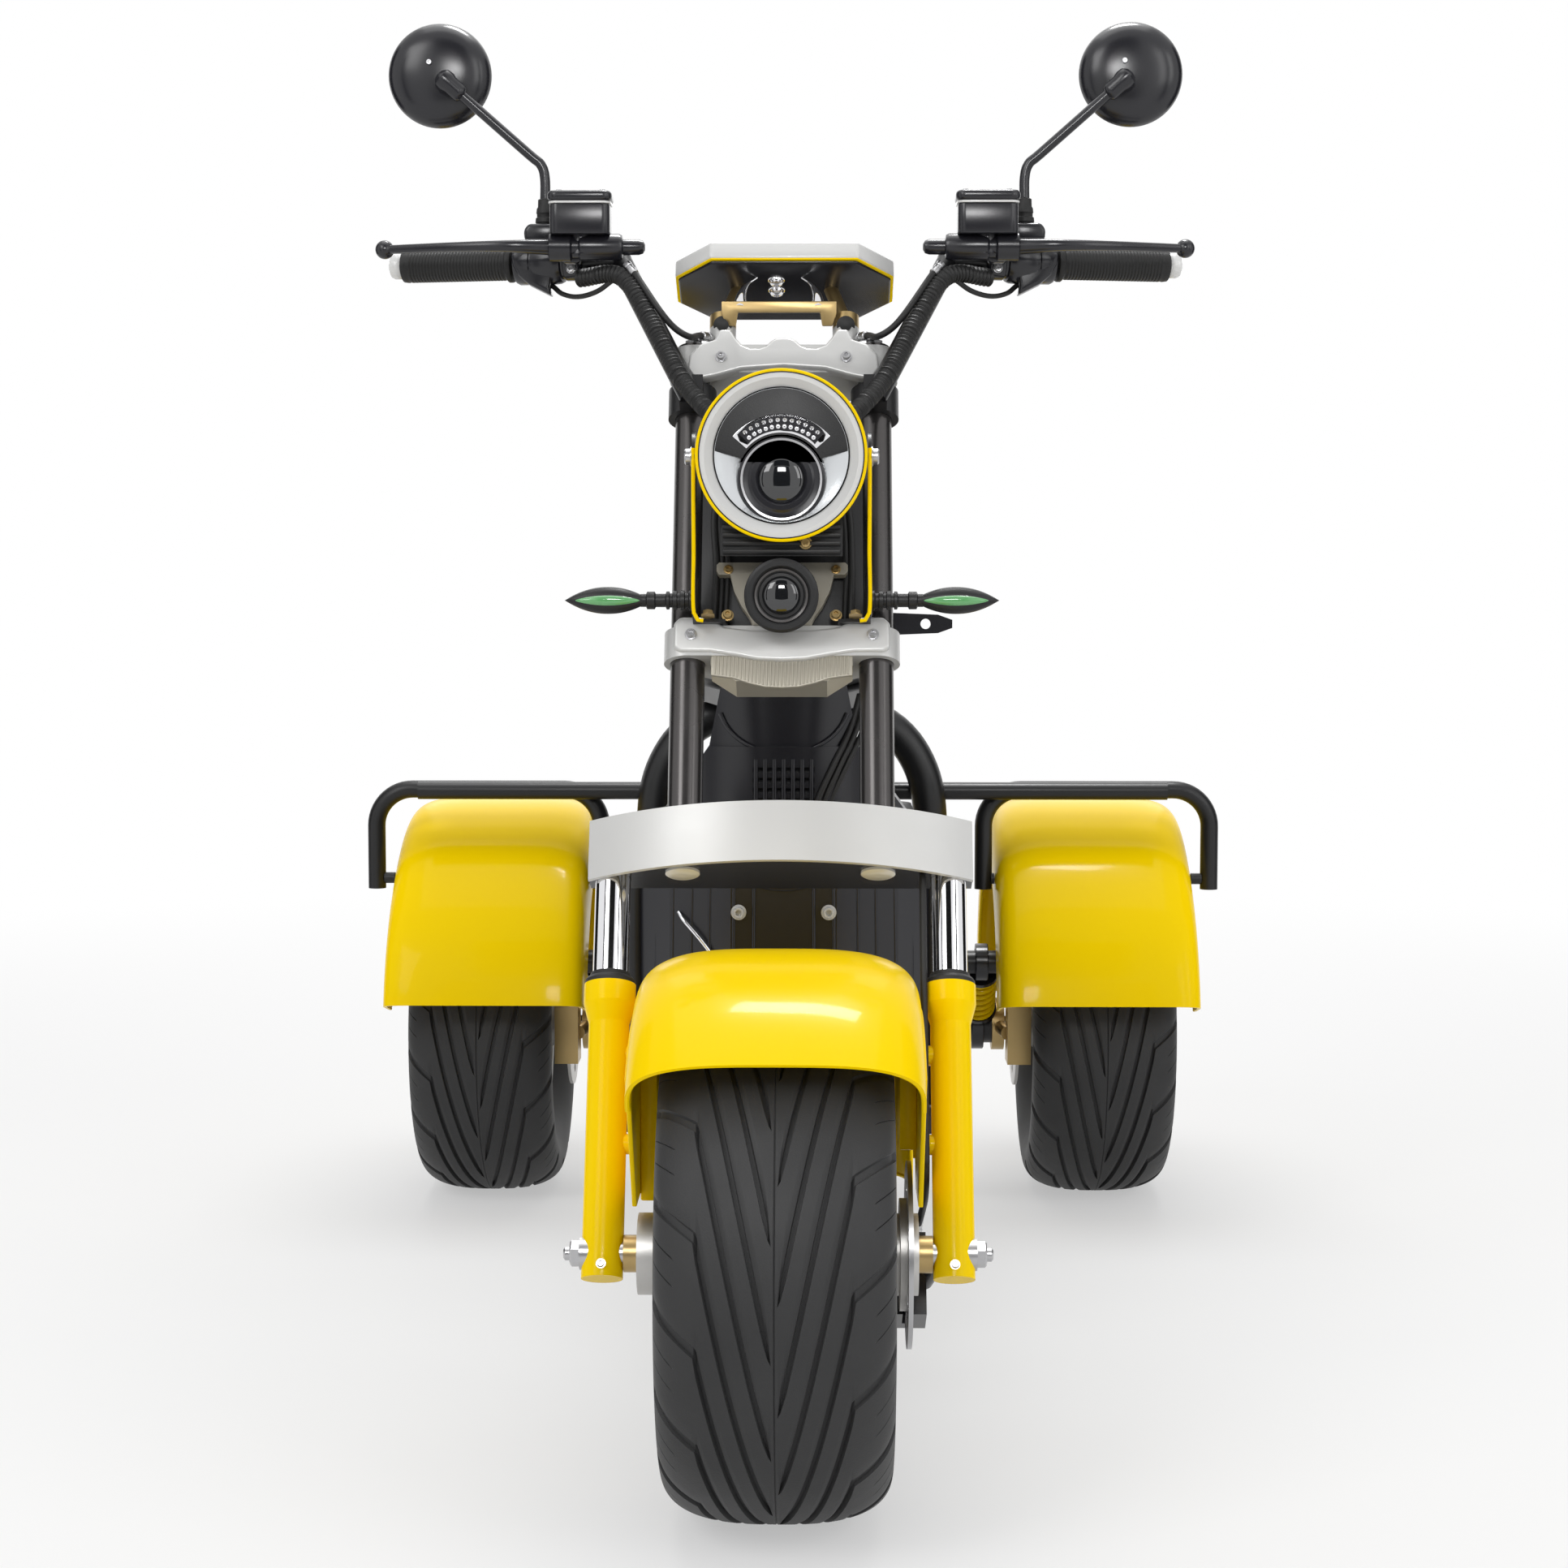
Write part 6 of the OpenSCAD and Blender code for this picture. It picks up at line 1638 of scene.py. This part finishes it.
@dataclass
class Seat:
    """The padded bench seat: a swelled leather cushion with sewn channels and piping."""

    start: float = 690.0
    length: float = 600.0
    floor_z: float = 677.0
    half_ws: Pairs = ((0.0, 52.0), (0.03, 64.0), (0.08, 74.0), (0.3, 95.0), (0.55, 120.0), (0.7, 123.0), (0.92, 123.0),
                      (0.97, 112.0), (1.0, 92.0))
    tops: Pairs = ((0.0, 42.0), (0.03, 56.0), (0.08, 63.0), (0.3, 48.0), (0.56, 47.0), (0.66, 62.0), (0.74, 76.0),
                   (0.92, 81.0), (0.97, 72.0), (1.0, 56.0))
    stations: int = 49
    around: int = 40
    inset: float = 12.0
    voxel: float = 6.0 * MM
    pressure: float = 4.0
    quality: int = 4
    frames: int = 20
    cap: float = 15.0 * MM
    sink: float = 14.0 * MM
    rise: float = 2.0 * MM
    base_gap: float = 0.4 * MM
    channels: tuple[float, ...] = (0.26, 0.33, 0.40, 0.47, 0.54, 0.78, 0.86)
    channel_w: float = 5.0 * MM
    channel_depth: float = 4.0 * MM
    piping_r: float = 2.6
    piping_end: float = 14.0 * MM
    piping_points: int = 34

    def build(self) -> None:
        """Models the cushion in place of the plain solid, then its piping."""
        cushion = join("seat_cushion", [lofted(self._rings())])
        apply_modifier(cushion, "REMESH", mode="VOXEL", voxel_size=self.voxel)
        self._swell(cushion)
        self._fit(cushion)
        apply_modifier(cushion, "SUBSURF", levels=1, render_levels=1)
        self._sew(cushion)
        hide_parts("seat")
        settle(cushion, LEATHER, Body.CHASSIS, smooth_deg=80.0)
        self._piping(cushion)

    def _rings(self) -> np.ndarray:
        """Draws the slightly small cross sections from nose to tail.

        Returns:
            Rings by corners by xyz in metres.
        """
        turns = np.linspace(0, 2 * math.pi, self.around, endpoint=False)
        across, up = signed_power(np.cos(turns), 0.45), 0.5 + 0.5 * signed_power(np.sin(turns), 0.5)
        rings = []
        for share in np.arange(self.stations) / (self.stations - 1):
            w, h = (np.interp(share, *zip(*table)) - self.inset for table in (self.half_ws, self.tops))
            y = (self.start + self.inset + share * (self.length - 2 * self.inset)) * MM + FRONT_AXLE.y
            rings.append(np.stack([w * across * MM, np.full(len(turns), y), (self.floor_z + h * up) * MM], axis=1))
        return np.array(rings)

    def _swell(self, cushion: Piece) -> None:
        """Swells the cushion as a cloth under pressure and caps how far a point moves.

        Args:
            cushion: The even mesh.
        """
        rest = read_points(cushion)
        cloth = cushion.modifiers.new("cloth", "CLOTH")
        cloth.settings.use_pressure = True
        cloth.settings.uniform_pressure_force = self.pressure
        cloth.settings.effector_weights.gravity = 0.0
        cloth.settings.quality = self.quality
        scene = bpy.context.scene
        for number in range(1, self.frames + 1):
            scene.frame_set(number)
        pick(cushion)
        bpy.ops.object.modifier_apply(modifier=cloth.name)
        scene.frame_set(1)
        step = read_points(cushion) - rest
        far = np.linalg.norm(step, axis=1, keepdims=True)
        write_points(cushion, rest + step * np.minimum(1.0, self.cap / np.maximum(far, 1e-9)))

    def _fit(self, cushion: Piece) -> None:
        """Stretches the swelled cushion onto the seat's own box, flat on its base.

        Args:
            cushion: The swelled mesh.
        """
        low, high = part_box("seat")
        points = read_points(cushion)
        least, most = points.min(axis=0), points.max(axis=0)
        start, end = np.array(low) - [0, 0, self.sink], np.array(high) + [0, 0, self.rise]
        points = start + (points - least) / (most - least) * (end - start)
        points[:, 2] = np.maximum(points[:, 2], low.z + self.base_gap)
        write_points(cushion, points)

    def _sew(self, cushion: Piece) -> None:
        """Presses the sewn channels and the step line into the top.

        Args:
            cushion: The smooth cushion.
        """
        points, normals = read_points(cushion), read_points(cushion, "normal")
        share = (points[:, 1] - FRONT_AXLE.y - self.start * MM) / (self.length * MM)
        upwards = np.clip((normals[:, 2] - 0.35) / 0.4, 0, 1)
        bowed = share + 0.02 * (points[:, 0] / 0.12) ** 2
        offs = [(bowed - channel) * self.length * MM for channel in self.channels]
        press = sum(np.exp(-((off / self.channel_w) ** 2)) for off in offs)
        write_points(cushion, points - normals * (press * upwards * self.channel_depth)[:, None])

    def _piping(self, cushion: Piece) -> None:
        """Models the piping sewn along the cushion's widest line.

        Args:
            cushion: The finished cushion.
        """
        points = read_points(cushion)
        ends = points[:, 1].min() + self.piping_end, points[:, 1].max() - self.piping_end
        half = []
        for y in np.linspace(*ends, self.piping_points):
            near = points[np.abs(points[:, 1] - y) < 5 * MM]
            wide = near[near[:, 0] > near[:, 0].max() - 1.5 * MM]
            half.append((near[:, 0].max() - 0.6 * MM, y, wide[:, 2].mean()))
        level = np.convolve(np.pad([p[2] for p in half], 4, mode="edge"), np.full(9, 1 / 9), mode="valid")
        cords = [tube([Vector((side * x, y, z)) for (x, y, _), z in zip(half, level)], self.piping_r, 9, 10)
                 for side in SIDES]
        group("seat_piping", cords, LEATHER, Body.CHASSIS, smooth_deg=60.0)


@dataclass
class RearTrim:
    """The tail lamp's ribs and hood, the box's latches and cap, and the motor's fins."""

    lamp_ribs: int = 15
    rib_gap: float = 8.0 * MM
    latch_ys: tuple[float, ...] = (780.0, 980.0)
    latch_drop: float = 24.0 * MM
    clasp_lift: float = 8.0 * MM
    cap: Pairs = ((24, -2), (24, 2), (22, 4), (18, 4.4), (17, 7), (15, 8.4), (6, 9))
    cap_share: float = 0.62
    fin_first: float = -88.0
    fin_gap: float = 12.0
    fins: int = 12
    motor_r: float = 92.0
    cover_bolts: int = 8
    cover_share: float = 0.84

    def build(self) -> None:
        """Models the trim on the chassis' rear."""
        self._tail_lamp()
        self._box()
        self._motor()

    def _tail_lamp(self) -> None:
        """Models the lens ribs and the black hood of the tail lamp."""
        low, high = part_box("tail_lamp")
        run = ((high.y - 1.2 * MM, low.z + 5 * MM), (high.y - 0.4 * MM, (low.z + high.z) / 2),
               (high.y - 1.2 * MM, high.z - 5 * MM))
        ribs = []
        for i in range(self.lamp_ribs):
            x = (i - (self.lamp_ribs - 1) / 2) * self.rib_gap
            ribs.append(tube([Vector((x, y, z)) for y, z in run], 2.6, 6, 10))
        group("tail_lamp_ribs", ribs, RED_LENS, Body.CHASSIS, smooth_deg=60.0)
        places = [Matrix.Translation((0, (low.y + high.y) / 2, z - 3 * MM)) for z in (low.z, high.z)]
        hoods = [plate(round_box(136, 30, 10), 6, place, edge=2) for place in places]
        group("tail_lamp_hood", hoods, GLOSS_BLACK, Body.CHASSIS)

    def _box(self) -> None:
        """Models the latches and the charge cap of the battery box."""
        low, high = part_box("battery_box")
        latches = []
        for side in SIDES:
            for y in self.latch_ys:
                place = side_on((side * (high.x - 1 * MM), spot(0, y, 0).y, high.z - self.latch_drop), side)
                latches.append(plate(round_box(26, 34, 5), 4, place, edge=1.2))
                lifted = place @ Matrix.Translation((0, self.clasp_lift, 0))
                latches.append(plate(round_box(16, 12, 4), 8, lifted, edge=1.5))
        group("battery_box_latches", latches, STEEL, Body.CHASSIS)
        foot = Vector((0, low.y + 1 * MM, low.z + self.cap_share * (high.z - low.z)))
        group("charge_cap", [turned(mm(self.cap), foot, FORWARD, 40)], MOULDED, Body.CHASSIS)

    def _motor(self) -> None:
        """Models the cooling fins and cover bolts of the motor."""
        low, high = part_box("drive_motor")
        r = self.motor_r
        axis = Vector((0, high.y - r * MM, high.z - r * MM))
        ring = mm([(r - 1, 0), (r + 2.6, 0.6), (r + 2.6, 3.4), (r - 1, 4)])
        xs = [self.fin_first + i * self.fin_gap for i in range(self.fins)]
        fins = [turned(ring, axis + ACROSS * x * MM, ACROSS, 72, hollow=True) for x in xs]
        group("motor_fins", fins, CAST, Body.CHASSIS)
        bolts = []
        for i in range(self.cover_bolts):
            turn = 2 * math.pi * i / self.cover_bolts
            y, z = (self.cover_share * r * MM * wave for wave in (math.cos(turn), math.sin(turn)))
            bolts.append(bolt(axis + Vector((low.x + 0.2 * MM, y, z)), -ACROSS, 4))
        group("motor_bolts", bolts, STEEL, Body.CHASSIS)


@dataclass
class Studio:
    """The pale floor, the soft light and the camera at the photograph's angle."""

    image_px: int = 1932
    focal_px: float = 3495.0
    sensor_mm: float = 36.0
    near_clip: float = 0.05
    camera_at: tuple[float, float, float] = (0.037, -3.0865, 0.810)
    aim_at: tuple[float, float, float] = (0.005, -0.6865, 0.630)
    floor_half: float = 60.0
    floor_near: float = 1.5
    floor_far: float = 4.2
    floor_share: float = 0.45
    lighting: float = 0.55
    softboxes: tuple[tuple[str, tuple[float, float, float], float, float], ...] = (
        ("key", (-2.6, -3.4, 3.2), 2.0, 56.0), ("fill", (3.0, -2.8, 2.2), 2.2, 40.0),
        ("top", (0.0, 0.4, 4.2), 3.2, 56.0), ("rim", (0.0, 3.6, 2.6), 3.0, 34.0))
    softbox_aim: tuple[float, float, float] = (0.0, 0.0, 0.6)
    patches: tuple[tuple[tuple[float, float, float], float, float, float], ...] = (
        ((0.25, 0.85, 4.0), 1.1, 0.45, 90.0), ((0.0, -3.5, 2.0), 0.8, 0.5, 36.0))
    patch_aim: tuple[float, float, float] = (0.0, 0.0, 0.5)
    cards: tuple[tuple[float, float, float, float], ...] = (
        (270.0, 5.2, 2.6, 3.4), (18.0, 2.6, 1.5, 3.0), (162.0, 2.6, 1.5, 3.0), (318.0, 3.4, 0.5, 3.0),
        (222.0, 3.4, 0.5, 3.0))
    high_card: tuple[float, float, float] = (0.0, -2.55, 2.75)
    high_card_size: tuple[float, float] = (1.7, 1.3)
    high_card_aim: tuple[float, float, float] = (0.0, -0.5, 0.5)

    def build(self) -> None:
        """Makes the stage, the light and the camera."""
        self._floor()
        self._light()
        self._dark_cards()
        self._camera()

    def _floor(self) -> None:
        """Models the pale floor, which turns plain white away from the object."""
        bpy.ops.mesh.primitive_plane_add(size=2 * self.floor_half)
        floor = bpy.context.object
        floor.name = "studio_floor"
        pale = Finish("pale_floor", "", (0.86, 0.86, 0.86), roughness=0.8, tone_spread=0.0, specular=0.0,
                      grain=Grain.NONE).material()
        nodes, links = pale.node_tree.nodes, pale.node_tree.links
        white = nodes.new("ShaderNodeEmission")
        reach = nodes.new("ShaderNodeVectorMath")
        reach.operation = "LENGTH"
        links.new(nodes["Texture Coordinate"].outputs["Object"], reach.inputs[0])
        far = nodes.new("ShaderNodeMapRange")
        far.interpolation_type = "SMOOTHSTEP"
        far.inputs["From Min"].default_value = self.floor_near
        far.inputs["From Max"].default_value = self.floor_far
        far.inputs["To Min"].default_value = self.floor_share
        links.new(reach.outputs["Value"], far.inputs["Value"])
        share = nodes.new("ShaderNodeMath")
        share.operation = "MULTIPLY"
        links.new(far.outputs["Result"], share.inputs[0])
        links.new(self._seen(nodes, links), share.inputs[1])
        mix = nodes.new("ShaderNodeMixShader")
        links.new(share.outputs["Value"], mix.inputs["Fac"])
        links.new(nodes["Principled BSDF"].outputs["BSDF"], mix.inputs[1])
        links.new(white.outputs["Emission"], mix.inputs[2])
        links.new(mix.outputs["Shader"], nodes["Material Output"].inputs["Surface"])
        floor.data.materials.append(pale)

    @staticmethod
    def _stand(name: str, data: bpy.types.ID, place: Sequence[float], aim: Sequence[float]) -> Piece:
        """Stands a lamp or a camera at a place, aimed at another.

        Args:
            name: The object's name.
            data: The lamp or the camera.
            place: Where it stands.
            aim: Where it looks.

        Returns:
            The new object.
        """
        holder = bpy.data.objects.new(name, data)
        holder.location = place
        holder.rotation_euler = (Vector(aim) - holder.location).to_track_quat("-Z", "Y").to_euler()
        bpy.context.scene.collection.objects.link(holder)
        return holder

    def _light(self) -> None:
        """Sets the world, the softboxes and the patches that only gloss mirrors."""
        world = bpy.data.worlds.new("studio")
        bpy.context.scene.world = world
        world.use_nodes = True
        nodes, links = world.node_tree.nodes, world.node_tree.links
        back = nodes["Background"]
        back.inputs["Color"].default_value = (1.0, 1.0, 1.0, 1.0)
        level = nodes.new("ShaderNodeMapRange")
        level.inputs["To Min"].default_value = self.lighting
        level.inputs["To Max"].default_value = 1.0
        links.new(self._seen(nodes, links), level.inputs["Value"])
        links.new(level.outputs["Result"], back.inputs["Strength"])
        for name, place, size, power in self.softboxes:
            lamp = bpy.data.lights.new(name, "AREA")
            lamp.size, lamp.energy = size, power
            self._stand(name, lamp, place, self.softbox_aim)
        for number, (place, wide, high, power) in enumerate(self.patches):
            lamp = bpy.data.lights.new(f"patch_{number}", "AREA")
            lamp.shape = "RECTANGLE"
            lamp.size, lamp.size_y, lamp.energy = wide, high, power
            self._stand(f"patch_{number}", lamp, place, self.patch_aim).visible_diffuse = False
        bpy.context.scene.view_settings.view_transform = "Standard"

    def _dark_cards(self) -> None:
        """Stands dark cards round the stage, which only gloss and metal mirror."""
        dark = Finish("dark_card", "", (0.012, 0.012, 0.012), roughness=0.9, tone_spread=0.0, specular=0.0,
                      grain=Grain.NONE)
        stands = []
        for bearing, away, wide, high in self.cards:
            turn = math.radians(bearing)
            place = Vector((away * math.cos(turn), away * math.sin(turn), high / 2))
            stands.append((place, (wide, high), Vector((-place.x, -place.y, 0))))
        place = Vector(self.high_card)
        stands.append((place, self.high_card_size, Vector(self.high_card_aim) - place))
        for number, (place, size, way) in enumerate(stands):
            bpy.ops.mesh.primitive_plane_add(size=1.0)
            card = bpy.context.object
            card.name = f"dark_card_{number}"
            card.scale = (*size, 1.0)
            card.location = place
            card.rotation_euler = way.to_track_quat("Z", "Y").to_euler()
            for sight in ("visible_camera", "visible_diffuse", "visible_shadow", "visible_transmission"):
                setattr(card, sight, False)
            card.data.materials.append(dark.material())

    @staticmethod
    def _seen(nodes: bpy.types.Nodes, links: bpy.types.NodeLinks) -> bpy.types.NodeSocket:
        """Tells whether a place is seen, straight, mirrored or through glass.

        Args:
            nodes: The tree's nodes.
            links: The tree's links.

        Returns:
            A socket that is 1 where it is seen.
        """
        path = nodes.new("ShaderNodeLightPath")
        seen = path.outputs["Is Camera Ray"]
        for other in ("Is Glossy Ray", "Is Transmission Ray"):
            either = nodes.new("ShaderNodeMath")
            either.operation = "MAXIMUM"
            links.new(seen, either.inputs[0])
            links.new(path.outputs[other], either.inputs[1])
            seen = either.outputs["Value"]
        return seen

    def _camera(self) -> None:
        """Places the camera."""
        lens = bpy.data.cameras.new("photo_camera")
        lens.sensor_width = self.sensor_mm
        lens.lens = self.focal_px / self.image_px * self.sensor_mm
        lens.clip_start = self.near_clip
        bpy.context.scene.camera = self._stand("photo_camera", lens, self.camera_at, self.aim_at)


def build_fenders() -> None:
    """Builds the front fender and the two rear fenders."""
    FrontFender("front_fender", Body.STEERING, FRONT_AXLE, half_w=0.122, radius=0.262, wall=0.003, drop=0.062,
                bow_share=0.6, from_deg=48.0, to_deg=176.0, front_share=0.6).build()
    for name, side in (("left", 1), ("right", -1)):
        axle = Vector((side * 0.377, *middle(f"rear_tyre_{name}").yz))
        Fender(f"rear_fender_{name}", Body.CHASSIS, axle, half_w=0.123, radius=0.298, wall=0.004, drop=0.074,
               bow_share=0.42, from_deg=13.0, to_deg=180.0, front_share=0.26).build()


def main() -> None:
    """Builds the scene in order."""
    logging.basicConfig(level=logging.INFO, format="%(message)s")
    Studio().build()
    paint_nodes()
    TreadedTyre("front_tyre", Body.FRONT_WHEEL).build()
    TreadedTyre("rear_tyre_left", Body.REAR_LEFT).build()
    TreadedTyre("rear_tyre_right", Body.REAR_RIGHT).build()
    Headlamp().build()
    LowerLamp().build()
    build_fenders()
    for assembly in (Looms, DashTrim, Indicators, Mirrors, BrakeControls, BarEnds, LampTrim, ClampTrim, ForkTrim,
                     ShieldTrim, FrontFill, RearHoop, Shocks, Seat, RearTrim):
        assembly().build()


if __name__ == "__main__":
    main()
